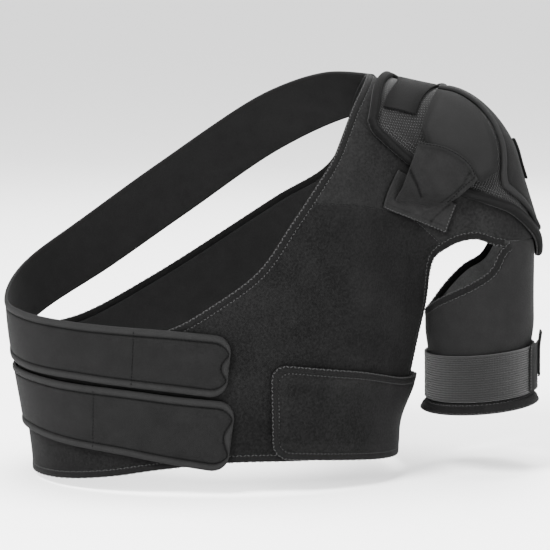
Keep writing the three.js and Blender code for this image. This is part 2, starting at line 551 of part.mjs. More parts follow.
const loopRows = evenRows(2, 0.1, 0.24).map((v) => ({ v, from: 0.15, to: 0.8 }));
add('shoulder_loop', sheet(capZone(loopRows, 10), overMesh, tabThickness), 'strapFabric');
const backTabRows = evenRows(3, 0.58, 0.73).map((v) => ({ v, from: 0.52, to: 0.8 }));
add('back_tab', sheet(capZone(backTabRows, 4), overMesh + strapThickness + layerGap, tabThickness), 'pullTab', 0.8);

// The front anchor lies on the chest under the cap's front edge; the pull tab climbs from it over the rim.
const anchorTop = smoothLine([onShoulder(-0.57, -0.56, -0.66), onShoulder(-0.3, -0.53, -0.83), onShoulder(0.0, -0.52, -1.0)]);
const anchorBottom = smoothLine([onShoulder(-0.75, -0.66, -1.02), onShoulder(-0.42, -0.47, -1.15), onShoulder(-0.08, -0.41, -1.27)]);
add('front_anchor', sheet(across(spaced(anchorBottom, 5), spaced(anchorTop, 5), 3), overPanel, tabThickness), 'pullTab');
const pullTop = smoothLine([
  onShoulder(-0.38, -0.52, -0.41), onShoulder(-0.12, -0.54, -0.46), onShoulder(0.09, -0.54, -0.6), onShoulder(0.17, -0.52, -0.75),
]);
const pullBottom = smoothLine([onShoulder(-0.63, -0.57, -0.96), onShoulder(-0.24, -0.51, -1.0), onShoulder(-0.04, -0.5, -0.96)]);
const overPad = overMesh + padThickness + layerGap;
const overAnchor = overPanel + tabThickness + layerGap;
const pullRows = 5;
const pullOffset = (row) => THREE.MathUtils.lerp(overPad, overAnchor, THREE.MathUtils.smoothstep(row / pullRows, 0.7, 1));
add('front_tab', sheet(across(spaced(pullTop, 5), spaced(pullBottom, 5), pullRows), pullOffset, tabThickness), 'pullTab');

export default brace;
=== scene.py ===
import math
import bpy
import numpy as np
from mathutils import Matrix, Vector


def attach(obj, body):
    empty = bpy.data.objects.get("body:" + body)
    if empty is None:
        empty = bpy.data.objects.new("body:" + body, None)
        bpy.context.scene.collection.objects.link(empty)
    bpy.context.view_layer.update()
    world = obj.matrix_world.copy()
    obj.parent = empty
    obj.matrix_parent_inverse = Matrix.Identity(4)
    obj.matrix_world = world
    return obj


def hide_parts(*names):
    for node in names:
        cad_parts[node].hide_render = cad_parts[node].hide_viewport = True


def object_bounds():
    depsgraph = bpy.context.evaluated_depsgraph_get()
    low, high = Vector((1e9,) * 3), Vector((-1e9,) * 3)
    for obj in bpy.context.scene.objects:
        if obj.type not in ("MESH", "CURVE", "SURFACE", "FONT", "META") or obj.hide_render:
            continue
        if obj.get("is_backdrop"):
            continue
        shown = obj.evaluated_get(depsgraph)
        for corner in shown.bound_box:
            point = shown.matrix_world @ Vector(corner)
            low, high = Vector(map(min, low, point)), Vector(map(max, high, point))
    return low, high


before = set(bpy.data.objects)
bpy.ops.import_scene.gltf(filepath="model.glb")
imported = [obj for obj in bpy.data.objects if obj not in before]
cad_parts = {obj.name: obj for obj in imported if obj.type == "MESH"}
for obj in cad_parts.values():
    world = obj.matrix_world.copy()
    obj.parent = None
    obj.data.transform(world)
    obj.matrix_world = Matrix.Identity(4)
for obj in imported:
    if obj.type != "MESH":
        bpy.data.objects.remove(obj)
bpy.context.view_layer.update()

# The brace is worked out in millimetres, on the same form as its solids.
# Each finished piece is made in metres.
MM = 0.001

# ---------------------------------------------------------------- sizes
CHEST_WIDTH, CHEST_DEPTH = 350, 236
WAIST_WIDTH, WAIST_DEPTH, WAIST_SHIFT = 320, 212, 4
WRAP_HEIGHT = 345
ARM_DIAMETER = 92
ARM_RADIUS = ARM_DIAMETER / 2
ARM_GAP = 23
SHOULDER_REACH = CHEST_WIDTH / 2 + ARM_GAP + 0.23 * ARM_DIAMETER

PANEL, STRAP, BAND, MESH, PAD, RIM, TAB = 3, 2.6, 2, 1.8, 3.6, 4.8, 1.8
LAYER_GAP, DRAPE_GAP, CAP_GAP, CLIP_GAP = 1, 1.5, 1.8, 0.4
BINDING_WIDTH = 6.5
# The fabric's edges go a little way into the bindings.
BESIDE_BINDING = BINDING_WIDTH - 0.8
OVER_PANEL = PANEL + DRAPE_GAP
OVER_YOKE = PANEL + CAP_GAP
OVER_MESH = OVER_YOKE + MESH + LAYER_GAP
SLEEVE_REACH, SLEEVE_FLARE, SLEEVE_TILT = 279, 4.5, 4.5
SEAM_DROP = 125
BAND_SQUEEZE, BAND_WIDTH, BAND_DROP = 2.8, 43, 247


# ---------------------------------------------------------------- the form under the fabric
def lerp(a, b, share):
    return a + (b - a) * share


def smoothstep(x, low, high):
    share = np.clip((x - low) / (high - low), 0, 1)
    return share * share * (3 - 2 * share)


def length_of(vectors):
    return np.sqrt((vectors ** 2).sum(-1))


def unit(vectors):
    return vectors / np.maximum(length_of(vectors), 1e-9)[..., None]


def on_body(across, deep, up):
    return np.array([across * CHEST_WIDTH / 2 - SHOULDER_REACH, deep * CHEST_DEPTH / 2, up * WRAP_HEIGHT])


def on_shoulder(out, deep, up):
    return np.array([out, deep, up]) * ARM_DIAMETER


RIDGE = (on_body(0.28, 0.19, -0.085), on_shoulder(-0.15, 0.02, -0.5), 1.12 * ARM_RADIUS, ARM_RADIUS)
UNDERARM = (on_shoulder(-0.47, 0.02, -1.25), on_body(0.85, 0.02, -0.7), 0.72 * ARM_RADIUS, 0.44 * ARM_RADIUS)
DELTOID = (on_shoulder(0.09, 0.02, -0.76), on_shoulder(0.27, 0.02, -1.45), 0.92 * ARM_RADIUS, ARM_RADIUS)
ELBOW_END = np.array([0.295 * ARM_DIAMETER, 0.02 * ARM_DIAMETER, -SLEEVE_REACH - ARM_RADIUS])
LOWER_ARM = (DELTOID[1], ELBOW_END, ARM_RADIUS, ARM_RADIUS)
BLEND = 0.87 * ARM_RADIUS
SHOULDER_BLEND = 0.5 * ARM_RADIUS


def smooth_union(a, b, radius):
    overlap = np.maximum(radius - np.abs(a - b), 0) / radius
    return np.minimum(a, b) - overlap ** 2 * radius / 4


def capsule(at, start, end, start_radius, end_radius):
    axis = end - start
    offset = at - start
    share = np.clip(offset @ axis / (axis @ axis), 0, 1)
    return length_of(offset - share[..., None] * axis) - lerp(start_radius, end_radius, share)


def chest_field(at):
    chest_share = smoothstep(at[..., 2], -WRAP_HEIGHT, -0.5 * WRAP_HEIGHT)
    half_width = lerp(WAIST_WIDTH, CHEST_WIDTH, chest_share) / 2
    half_depth = lerp(WAIST_DEPTH, CHEST_DEPTH, chest_share) / 2
    across = np.abs(at[..., 0] + SHOULDER_REACH - WAIST_SHIFT * (1 - chest_share)) / half_width
    deep = np.abs(at[..., 1]) / half_depth
    high = np.maximum(0, at[..., 2] / WRAP_HEIGHT + 0.49) / 0.62
    around = (across ** 2.3 + deep ** 2.3) ** (2.4 / 2.3)
    chest = ((around + high ** 2.4) ** (1 / 2.4) - 1) * half_depth
    return smooth_union(smooth_union(chest, capsule(at, *UNDERARM), BLEND), capsule(at, *RIDGE), BLEND)


def body_field(at):
    return smooth_union(chest_field(at), capsule(at, *DELTOID), SHOULDER_BLEND)


def opening_field(at):
    share = smoothstep(at[..., 2], -1.8 * ARM_DIAMETER, -1.46 * ARM_DIAMETER)
    return lerp(chest_field(at), body_field(at), share)


def arm_field(at):
    drop = SLEEVE_TILT * (at[..., 0] - DELTOID[1][0]) / ARM_RADIUS - at[..., 2]
    drawn_in = BAND_SQUEEZE * smoothstep(drop, BAND_DROP - BAND_WIDTH, BAND_DROP - BAND_WIDTH / 3)
    flare = (BAND_SQUEEZE + SLEEVE_FLARE) * smoothstep(drop, BAND_DROP + BAND_WIDTH / 2, SLEEVE_REACH)
    return np.minimum(capsule(at, *DELTOID), capsule(at, *LOWER_ARM)) + drawn_in - flare


def slope_of(field, at):
    slope = np.empty_like(at)
    for axis in range(3):
        step = np.zeros(3)
        step[axis] = 0.5
        slope[..., axis] = field(at + step) - field(at - step)
    return slope


def settle(points, field=body_field):
    """Points moved onto a field's surface, and the outward directions there."""
    at = np.array(points, float)
    for _ in range(7):
        slope = slope_of(field, at)
        at = at - slope * (field(at) / (slope ** 2).sum(-1))[..., None]
    return at, unit(slope_of(field, at))


def settled(points, field=body_field):
    return settle(points, field)[0]


# ---------------------------------------------------------------- lines on the form
def along_rails(controls, places, closed=False):
    """Points at places from 0 to 1 on centripetal curves, one place for each column of controls."""
    count, curves = controls.shape[:2]
    spans = count if closed else count - 1
    place = np.clip(places, 0, 1) * spans
    first = np.clip(np.floor(place).astype(int), 0, spans - 1)
    share = (place - first)[:, None]
    if not closed:
        before, after = 2 * controls[:1] - controls[1:2], 2 * controls[-1:] - controls[-2:-1]
        controls = np.concatenate([before, controls, after])
        first = first + 1
    around = len(controls)
    p0, p1, p2, p3 = (controls[(first + shift) % around, np.arange(curves)] for shift in (-1, 0, 1, 2))
    d0, d1, d2 = (np.maximum(length_of(b - a), 1e-6)[:, None] ** 0.5 for a, b in ((p0, p1), (p1, p2), (p2, p3)))
    t1 = ((p1 - p0) / d0 - (p2 - p0) / (d0 + d1) + (p2 - p1) / d1) * d1
    t2 = ((p2 - p1) / d1 - (p3 - p1) / (d1 + d2) + (p3 - p2) / d2) * d1
    return p1 + share * (t1 + share * (3 * (p2 - p1) - 2 * t1 - t2 + share * (2 * (p1 - p2) + t1 + t2)))


class Line:
    def __init__(self, points, closed=False):
        controls = np.asarray(points, float)
        self.closed = closed
        self.spans = len(controls) - (0 if closed else 1)
        self.places = np.linspace(0, 1, self.spans * 30 + 1)
        rails = np.repeat(controls[:, None], len(self.places), axis=1)
        self.dense = along_rails(rails, self.places, closed)
        self.run = np.concatenate([[0], np.cumsum(length_of(np.diff(self.dense, axis=0)))])
        self.length = self.run[-1]

    def at(self, shares):
        shares = np.asarray(shares, float)
        run = (np.mod(shares, 1) if self.closed else np.clip(shares, 0, 1)) * self.length
        return np.stack([np.interp(run, self.run, self.dense[:, axis]) for axis in range(3)], -1)

    def place_at(self, shares):
        return np.interp(np.asarray(shares) * self.length, self.run, self.places)

    def spaced(self, count, start=0, end=1):
        return self.at(np.linspace(start, end, count + 1))

    def near(self, point):
        return np.argmin(length_of(self.spaced(500) - point)) / 500


def smooth_line(points, closed=False, field=body_field):
    return Line(settled(np.array(points), field), closed)


def steps_for(length, step):
    return max(1, round(length / step))


def left_of(points, closed, field):
    if closed:
        along = np.roll(points, -1, axis=0) - np.roll(points, 1, axis=0)
    else:
        padded = np.concatenate([points[:1], points, points[-1:]])
        along = padded[2:] - padded[:-2]
    return np.cross(settle(points, field)[1], unit(along))


def shifted(points, distance, closed=False, field=chest_field):
    return points + left_of(points, closed, field) * np.asarray(distance)[..., None]


def moved_line(line, distance, field):
    points = line.spaced(80)
    points = settled(points[:-1] if line.closed else points, field)
    return Line(settled(shifted(points, distance, line.closed, field), field), line.closed)


def between_edges(low, high, start, end, power=1):
    """A grid between four edges, each of which fades away from its own side by a power."""
    u = np.linspace(0, 1, len(low))[None, :, None]
    v = np.linspace(0, 1, len(start))[:, None, None]
    near_left, near_right, near_low, near_high = (1 - u) ** power, u ** power, (1 - v) ** power, v ** power
    low, high, start, end = low[None], high[None], start[:, None], end[:, None]
    return (low * near_low + high * near_high + start * near_left + end * near_right
            - low[:, :1] * near_left * near_low - high[:, :1] * near_left * near_high
            - low[:, -1:] * near_right * near_low - high[:, -1:] * near_right * near_high)


EDGE_RISE = 5


def fill(bottom, top, start, end):
    edges = [bottom, top, start, end]
    rises = [edge - settled(edge, chest_field) for edge in edges]
    at = settled(between_edges(*edges), chest_field) + between_edges(*rises, EDGE_RISE)
    return at, settle(at, opening_field)[1]


def loft(lines, steps, field=body_field):
    controls = np.array(lines)
    places = np.linspace(0, 1, steps + 1)
    rows = [along_rails(controls, np.full(controls.shape[1], place)) for place in places]
    return settle(np.array(rows), field)


def across(low, high, count, field):
    share = np.linspace(0, 1, count + 1)[:, None, None]
    return settle(lerp(low[None], high[None], share), field)


# ---------------------------------------------------------------- fabric solids
def runs_down(at):
    """How far along its column each point of a grid lies."""
    return np.concatenate([np.zeros((1, at.shape[1])), np.cumsum(length_of(np.diff(at, axis=0)), axis=0)])


def respaced(at, out, step, near):
    """The grid with its rows spaced evenly, and with more rows at set distances from both ends."""
    run = runs_down(at)
    total = run[-1]
    near = np.asarray(near, float)
    inner = max(1, round((total.mean() - 2 * near[-1]) / step))
    close = near[:, None] * np.minimum(1, 0.48 * total / max(near[-1], 1e-6))
    middle = lerp(close[-1], total - close[-1], np.linspace(0, 1, inner + 1)[:, None])
    runs = np.concatenate([close[:-1], middle, (total - close[:-1])[::-1]])
    grids = []
    for grid in (at, out):
        fresh = np.empty((len(runs),) + grid.shape[1:])
        for column in range(grid.shape[1]):
            for axis in range(3):
                fresh[:, column, axis] = np.interp(runs[:, column], run[:, column], grid[:, column, axis])
        grids.append(fresh)
    return grids[0], unit(grids[1]), np.minimum(runs, total - runs), runs


def swap(*grids):
    return [np.swapaxes(grid, 0, 1) for grid in grids]


# How far inside a fabric's edge its extra rows of points lie.
EDGE_ROWS = (0, 0.08, 0.3, 0.75, 1.5)
PIPED_ROWS = EDGE_ROWS + (3.2, 4.8, 5.8, 6.6, 7.4, 8.6)
TAB_ROWS = PIPED_ROWS[:7]
TAPE_ROWS = (0, 0.1, 0.4, 0.9)
PADDED_ROWS = (0, 0.1, 0.4, 1, 2, 3.5, 5.5)
TAPE_STEP = 2.2


class Cloth:
    """A closed fabric solid with rounded edges, laid on a grid of points and outward directions."""

    def __init__(self, grid, lift, thickness, ring=False, step=3.2, near=EDGE_ROWS, relief=None, drape=None,
                 roll=1.5):
        at, out = grid
        if ring:
            at, out = (np.concatenate([part, part[:, :1]], axis=1) for part in (at, out))
        at, out, row_edge, rows = swap(*respaced(at, out, step, near))
        old_runs = runs_down(at)
        at, out, column_edge, columns = respaced(at, out, step, (0,) if ring else near)
        row_edge, rows = (
            np.stack([np.interp(*parts) for parts in zip(columns.T, old_runs.T, part.T)], 1)
            for part in (row_edge, rows))
        at, out, row_edge, rows, column_edge, columns = swap(at, out, row_edge, rows, column_edge, columns)
        self.ring = ring
        self.at, self.out = at, out
        self.u, self.v = columns, rows
        self.edge = row_edge if ring else np.minimum(row_edge, column_edge)
        self.total_u, self.total_v = columns[:, -1:], rows[-1:]
        radius = min(thickness / 2, roll)
        round_off = 1 - np.clip(self.edge / radius, 0, 1)
        self.fullness = np.sqrt(np.maximum(0, 1 - round_off ** 2))
        half = thickness / 2 * self.fullness
        raise_by = relief(self) * self.fullness if relief else 0
        sway = drape(self) if drape else 0
        middle = (lift(self) if callable(lift) else lift) + thickness / 2 + sway
        self.top = at + out * (middle + half + raise_by)[..., None]
        self.bottom = at + out * (middle - half)[..., None]
        # Painted into the colour: below 0, shade in a groove or dent; above 0, a highlight on a raised edge, a ridge
        # or a drape crest.
        # A thin painted highlight runs along every edge.
        painted_edge_highlight = 0.3 * np.exp(-(self.edge / 0.9) ** 2)
        self.shade = np.clip(raise_by * 1.1 + sway * 0.12 + painted_edge_highlight, -1, 1)

    def surface(self, at_rows, at_columns):
        """Points of the outer face at fractions of the grid, and the outward directions there."""
        height, width = self.at.shape[:2]
        r, c = np.clip(at_rows, 0, 1) * (height - 1), np.clip(at_columns, 0, 1) * (width - 1)
        r0, c0 = np.minimum(r.astype(int), height - 2), np.minimum(c.astype(int), width - 2)
        fr, fc = (r - r0)[:, None], (c - c0)[:, None]

        def sample(grid):
            low = lerp(grid[r0, c0], grid[r0, c0 + 1], fc)
            high = lerp(grid[r0 + 1, c0], grid[r0 + 1, c0 + 1], fc)
            return lerp(low, high, fr)
        return sample(self.top), unit(sample(self.out))

    def build(self, name, node, finish, lining=None):
        height, width = self.at.shape[:2]
        columns = width - 1 if self.ring else width
        top = self.top[:, :columns].reshape(-1, 3)
        bottom = self.bottom[:, :columns].reshape(-1, 3)
        upper = np.arange(height * columns).reshape(height, columns)
        lower = upper + height * columns
        lower[0], lower[-1] = upper[0], upper[-1]
        if not self.ring:
            lower[:, 0], lower[:, -1] = upper[:, 0], upper[:, -1]
        place = np.stack([self.u, self.v], -1) * MM

        def quads(index, flip):
            side = np.concatenate([index, index[:, :1]], axis=1) if self.ring else index
            corners = [side[:-1, :-1], side[:-1, 1:], side[1:, 1:], side[1:, :-1]]
            spots = [place[:-1, :-1], place[:-1, 1:], place[1:, 1:], place[1:, :-1]]
            if flip:
                corners, spots = corners[::-1], spots[::-1]
            return np.stack(corners, -1).reshape(-1, 4), np.stack(spots, -2).reshape(-1, 4, 2)
        outer, outer_uv = quads(upper, False)
        inner, inner_uv = quads(lower, True)
        vertices = np.concatenate([top, bottom]) * MM
        faces = np.concatenate([outer, inner])
        a, b, c = (vertices[faces[: len(outer), k]] for k in range(3))
        facing = (np.cross(b - a, c - a) * self.out[:-1, : self.u.shape[1] - 1].reshape(-1, 3)).sum()
        uv = np.concatenate([outer_uv, inner_uv])
        if facing < 0:
            faces, uv = faces[:, ::-1], uv[:, ::-1]
        shade = self.shade[:, :columns].ravel()
        mesh = mesh_of(name, vertices, faces, uv, np.concatenate([shade, np.zeros(len(shade))]))
        mesh.materials.append(material(finish))
        mesh.materials.append(material(lining or finish))
        side = np.zeros(len(faces), dtype=np.int32)
        side[len(outer):] = 1
        mesh.polygons.foreach_set("material_index", side)
        return piece(name, mesh, node, finish)


def mesh_of(name, vertices, faces, uv=None, shade=None):
    used = np.unique(faces)
    fresh = np.full(len(vertices), -1)
    fresh[used] = np.arange(len(used))
    mesh = bpy.data.meshes.new(name)
    mesh.from_pydata(vertices[used].tolist(), [], fresh[faces].tolist())
    if uv is not None:
        layer = mesh.uv_layers.new(name="fabric")
        layer.data.foreach_set("uv", np.ascontiguousarray(uv, dtype=np.float32).ravel())
    if shade is not None:
        values = mesh.attributes.new("shade", "FLOAT", "POINT")
        values.data.foreach_set("value", np.ascontiguousarray(shade[used], dtype=np.float32))
    mesh.polygons.foreach_set("use_smooth", np.ones(len(mesh.polygons), dtype=bool))
    mesh.update()
    return mesh


def piece(name, mesh, node, slot):
    made = bpy.data.objects.new(name, mesh)
    bpy.context.scene.collection.objects.link(made)
    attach(made, "root")
    if node:
        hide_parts(node)
    return made


THREAD_SIDES = 6
# Places along a stitch, and the thread's share of its full width there.
THREAD_STATIONS = ((0, 0.35), (0.18, 0.9), (0.5, 1), (0.82, 0.9), (1, 0.35))


def stitches(name, starts, ends, outs, finish, width=0.95, height=0.9, slot="binding"):
    """Short rounded threads from starts to ends, half sunk in the fabric."""
    turns = np.linspace(0, 2 * math.pi, THREAD_SIDES, endpoint=False)
    along = ends - starts
    side = unit(np.cross(outs, along))
    up = unit(np.cross(along, side))
    rings = []
    for share, size in THREAD_STATIONS:
        arch = 0.25 * math.sin(math.pi * share)
        centre = starts + along * share + up * height * (arch - 0.1)
        for turn in turns:
            sideways, upwards = width / 2 * size * math.cos(turn), height / 2 * size * math.sin(turn)
            rings.append(centre + side * sideways + up * upwards)
    points = np.stack(rings, 1)
    count, each = points.shape[:2]
    faces = []
    for ring in range(len(THREAD_STATIONS) - 1):
        for k in range(THREAD_SIDES):
            a, b = ring * THREAD_SIDES + k, ring * THREAD_SIDES + (k + 1) % THREAD_SIDES
            faces.append((a, b, b + THREAD_SIDES, a + THREAD_SIDES))
    caps = [(0, 1, 2, 3), (0, 3, 4, 5)]
    top = (len(THREAD_STATIONS) - 1) * THREAD_SIDES
    faces += [tuple(reversed(cap)) for cap in caps] + [tuple(top + k for k in cap) for cap in caps]
    template = np.array(faces)[:, ::-1]
    index = (np.arange(count)[:, None, None] * each + template[None]).reshape(-1, 4)
    mesh = mesh_of(name, points.reshape(-1, 3) * MM, index)
    mesh.materials.append(material(finish))
    return piece(name, mesh, None, slot)


def run_of(cloth, rows, columns, pitch, share, across_by=0.0):
    return run_along(*cloth.surface(rows, columns), pitch, share, across_by)


def run_along(at, out, pitch, share, across_by=0.0):
    """Stitch starts, ends and directions along a track, in steps of pitch."""
    run = np.concatenate([[0], np.cumsum(length_of(np.diff(at, axis=0)))])
    count = max(2, int(run[-1] / pitch))
    starts = (np.arange(count) + 0.5 * (1 - share)) * run[-1] / count
    ends = starts + share * run[-1] / count

    def sample(runs, grid):
        return np.stack([np.interp(runs, run, grid[:, axis]) for axis in range(3)], -1)
    head, tail, outs = sample(starts, at), sample(ends, at), unit(sample((starts + ends) / 2, out))
    if across_by:
        side = unit(np.cross(outs, tail - head))
        swing = across_by * np.where(np.arange(count) % 2, 1, -1)[:, None]
        head, tail = head - side * swing, tail + side * swing
    return head, tail, outs


def joined(*runs):
    return tuple(np.concatenate(parts) for parts in zip(*runs))


# ---------------------------------------------------------------- finishes
class Value:
    """A socket of a finish's node tree, with arithmetic."""

    def __init__(self, tree, socket):
        self.tree, self.socket = tree, socket

    def math(self, operation, *others):
        return node(self.tree, "ShaderNodeMath", {"operation": operation}, dict(enumerate(others)))

    def __add__(self, other):
        return self.math("ADD", self, other)

    def __sub__(self, other):
        return self.math("SUBTRACT", self, other)

    def __mul__(self, other):
        return self.math("MULTIPLY", self, other)

    def __rsub__(self, other):
        return self.math("SUBTRACT", other, self)

    def __neg__(self):
        return self.math("MULTIPLY", self, -1.0)

    __radd__, __rmul__ = __add__, __mul__


def node(tree, kind, settings, inputs, output=0):
    made = tree.nodes.new(kind)
    for key, value in settings.items():
        setattr(made, key, value)
    for key, value in inputs.items():
        if isinstance(value, Value):
            tree.links.new(value.socket, made.inputs[key])
        else:
            made.inputs[key].default_value = value
    return Value(tree, made.outputs[output])


def grey(level):
    """A grey from a screen level of 0 to 255."""
    linear = (level / 255) ** 2.2
    return (linear, linear, linear, 1)


# The places of a Mix node's colour sockets, which share their names with its other sockets.
MIX_FIRST, MIX_SECOND, MIX_RESULT = 6, 7, 2
# How far painted shade takes a groove to its dark grey, and a painted highlight takes a raised edge to its light
# grey.
PAINTED_SHADE_SHARE, PAINTED_SHADE_GREY = 0.72, grey(4)
PAINTED_HIGHLIGHT_SHARE, PAINTED_HIGHLIGHT_GREY = 0.07, grey(78)


class Finish:
    """A material whose surface is set from expressions."""

    def __init__(self, name):
        self.material = bpy.data.materials.new(name)
        self.material.use_nodes = True
        self.tree = self.material.node_tree
        self.surface = self.tree.nodes["Principled BSDF"]
        self.place = node(self.tree, "ShaderNodeTexCoord", {}, {}, "Object")
        self.fabric = node(self.tree, "ShaderNodeUVMap", {"uv_map": "fabric"}, {})

    def node(self, kind, settings, inputs, output=0):
        return node(self.tree, kind, settings, inputs, output)

    def noise(self, size, detail=3.0, rough=0.6, stretch=(1, 1, 1)):
        """Noise whose spots are about size millimetres."""
        scaled = self.node("ShaderNodeVectorMath", {"operation": "MULTIPLY"}, {0: self.place, 1: stretch})
        return self.node("ShaderNodeTexNoise", {}, {
            "Vector": scaled, "Scale": 1000 / size, "Detail": detail, "Roughness": rough})

    def along(self, axis):
        return self.node("ShaderNodeSeparateXYZ", {}, {0: self.fabric}, axis)

    def wave(self, axis, pitch, phase=0.0):
        """0 to 1 and back over a pitch in millimetres, along the fabric."""
        turn = self.along(axis) * (2000 * math.pi / pitch) + phase
        return turn.math("SINE", turn) * 0.5 + 0.5

    def span(self, value, low, high):
        return self.node("ShaderNodeMapRange", {"interpolation_type": "SMOOTHSTEP"}, {
            "Value": value, "From Min": low, "From Max": high})

    def mixed(self, share, first, second):
        """From the first colour, at share 0, to the second."""
        return self.node("ShaderNodeMix", {"data_type": "RGBA"}, {
            0: share, MIX_FIRST: first, MIX_SECOND: second}, MIX_RESULT)

    def finish(self, colour, roughness, height, depth, sheen=0.0):
        """Depth is the relief's height in millimetres."""
        shade = self.node("ShaderNodeAttribute", {"attribute_name": "shade"}, {}, "Fac")
        # From the shade attribute: painted shade darkens grooves and dents, and a painted highlight lightens raised
        # edges and ridges.
        colour = self.mixed(self.span(-shade, 0.05, 0.8) * PAINTED_SHADE_SHARE, colour, PAINTED_SHADE_GREY)
        colour = self.mixed(self.span(shade, 0.05, 1.1) * PAINTED_HIGHLIGHT_SHARE, colour, PAINTED_HIGHLIGHT_GREY)
        normal = self.node("ShaderNodeBump", {}, {"Height": height, "Distance": depth * MM, "Strength": 1.0})
        self.tree.links.new(colour.socket, self.surface.inputs["Base Color"])
        self.tree.links.new(roughness.socket, self.surface.inputs["Roughness"])
        self.tree.links.new(normal.socket, self.surface.inputs["Normal"])
        self.surface.inputs["Sheen Weight"].default_value = sheen
        self.surface.inputs["Sheen Roughness"].default_value = 0.6
        self.surface.inputs["Specular IOR Level"].default_value = 0.04
        return self.material


def brushed_fabric(name, dark, light, spot, pile, depth, sheen, rough=0.92):
    """Loop fabric with a short uneven pile."""
    made = Finish(name)
    mottle = made.noise(spot, 4.0, 0.65)
    fuzz = made.noise(pile, 3.0, 0.7)
    patch = made.noise(38.0, 2.0)
    tone = made.span(mottle * 0.62 + fuzz * 0.3 + patch * 0.28, 0.42, 0.8)
    colour = made.mixed(tone, grey(dark), grey(light))
    return made.finish(colour, rough - tone * 0.12, fuzz * 0.7 + mottle * 0.5, depth, sheen)


def woven_fabric(name, dark, light, pitch, depth, sheen, rough=0.85, spot=9.0):
    """A fine knit whose threads run both ways."""
    made = Finish(name)
    over, under = made.wave("X", pitch), made.wave("Y", pitch)
    knit = over * under + (1 - over) * (1 - under)
    mottle = made.noise(spot, 4.0, 0.6)
    fuzz = made.noise(1.1, 2.0, 0.7)
    tone = made.span(knit * 0.3 + mottle * 0.3 + fuzz * 0.6, 0.3, 0.9)
    colour = made.mixed(tone, grey(dark), grey(light))
    return made.finish(colour, rough - tone * 0.1, knit * 0.8 + fuzz * 0.5, depth, sheen)


def ribbed_elastic(name, dark, light):
    """Elastic with fine ribs round the arm and a faint crossing thread."""
    made = Finish(name)
    rib = made.wave("Y", 2.1)
    cross = made.wave("X", 1.3)
    mottle = made.noise(7.0, 3.0)
    tone = made.span(rib * 0.35 + cross * 0.12 + mottle * 0.55, 0.2, 0.95)
    colour = made.mixed(tone, grey(dark), grey(light))
    return made.finish(colour, 0.8 - tone * 0.12, rib * 0.9 + cross * 0.2, 0.5, 0.15)


def open_mesh(name, dark, light, pitch):
    """Spacer mesh: rows of small holes between lighter threads."""
    made = Finish(name)
    u, v = made.along("X") * (1000 / pitch), made.along("Y") * (1000 / pitch)
    row = v.math("FLOOR", v)
    shifted_u = u + row * 0.5
    across_hole = shifted_u.math("FRACT", shifted_u) - 0.5
    up_hole = v.math("FRACT", v) - 0.5
    far = across_hole * across_hole + up_hole * up_hole * 1.5
    hole = 1 - made.span(far, 0.06, 0.16)
    speck = made.span(made.noise(2.6, 2.0, 0.6), 0.52, 0.72)
    thread = made.span(far, 0.24, 0.46) * speck
    base = made.mixed(made.span(made.noise(5.0), 0.3, 0.7), grey(dark), grey(dark * 1.3))
    colour = made.mixed(thread * 0.6, base, grey(light))
    colour = made.mixed(hole * 0.85, colour, grey(8))
    return made.finish(colour, 0.85 - thread * 0.2, 1 - hole, 0.7, 0.1)


def sewing_thread(name, level, sheen=0.03):
    made = Finish(name)
    fibre = made.noise(0.5, 2.0)
    colour = made.mixed(fibre, grey(level * 0.8), grey(level * 1.2))
    return made.finish(colour, 0.8 - fibre * 0.1, fibre, 0.15, sheen)


# How each finish is made, then its dark and light greys, its sizes in millimetres, its sheen and its roughness.
RECIPES = {
    "loop_fabric": (brushed_fabric, 13, 25, 2.0, 0.8, 0.5, 0.01),
    "yoke_fabric": (brushed_fabric, 18, 29, 2.2, 0.9, 0.35, 0.01, 0.9),
    "strap_fabric": (woven_fabric, 17, 28, 1.1, 0.22, 0.01, 0.88, 14.0),
    "sleeve_fabric": (woven_fabric, 19, 30, 0.95, 0.18, 0.01, 0.8, 12.0),
    "loop_webbing": (woven_fabric, 11, 17, 1.1, 0.3, 0.01, 0.88, 14.0),
    "binding": (woven_fabric, 12, 22, 1.0, 0.3, 0.01, 0.82, 4.0),
    "rim_tape": (woven_fabric, 8, 16, 1.2, 0.3, 0.01, 0.82, 8.0),
    "mesh": (open_mesh, 6, 28, 2.3),
    "pad_fabric": (woven_fabric, 17, 26, 1.0, 0.22, 0.01, 0.82, 16.0),
    "band_fabric": (woven_fabric, 17, 26, 1.0, 0.22, 0.01, 0.84, 16.0),
    "elastic": (ribbed_elastic, 8, 15),
    "hook_tape": (brushed_fabric, 12, 22, 2.0, 0.8, 0.4, 0.02, 0.9),
    "pull_tab": (woven_fabric, 19, 30, 1.05, 0.2, 0.01, 0.82, 10.0),
    # The anchor is the pull tab's fabric made lighter: painted light against the shadow the pull tab casts on it.
    "anchor_painted_light_fabric": (woven_fabric, 23, 34, 1.05, 0.2, 0.01, 0.82, 10.0),
    # The sleeve's lining is much lighter than the other lining: painted light for the shaded inside of the sleeve.
    "sleeve_lining_painted_light": (woven_fabric, 70, 98, 1.2, 0.2, 0.0, 0.9, 3.0),
    "lining": (woven_fabric, 18, 29, 1.2, 0.2, 0.02, 0.9, 12.0),
    "thread": (sewing_thread, 45),
    "dark_thread": (sewing_thread, 14, 0.0),
    "light_thread": (sewing_thread, 56),
}
made_materials = {}


def material(name):
    if name not in made_materials:
        maker, *values = RECIPES[name]
        made_materials[name] = maker(name, *values)
    return made_materials[name]


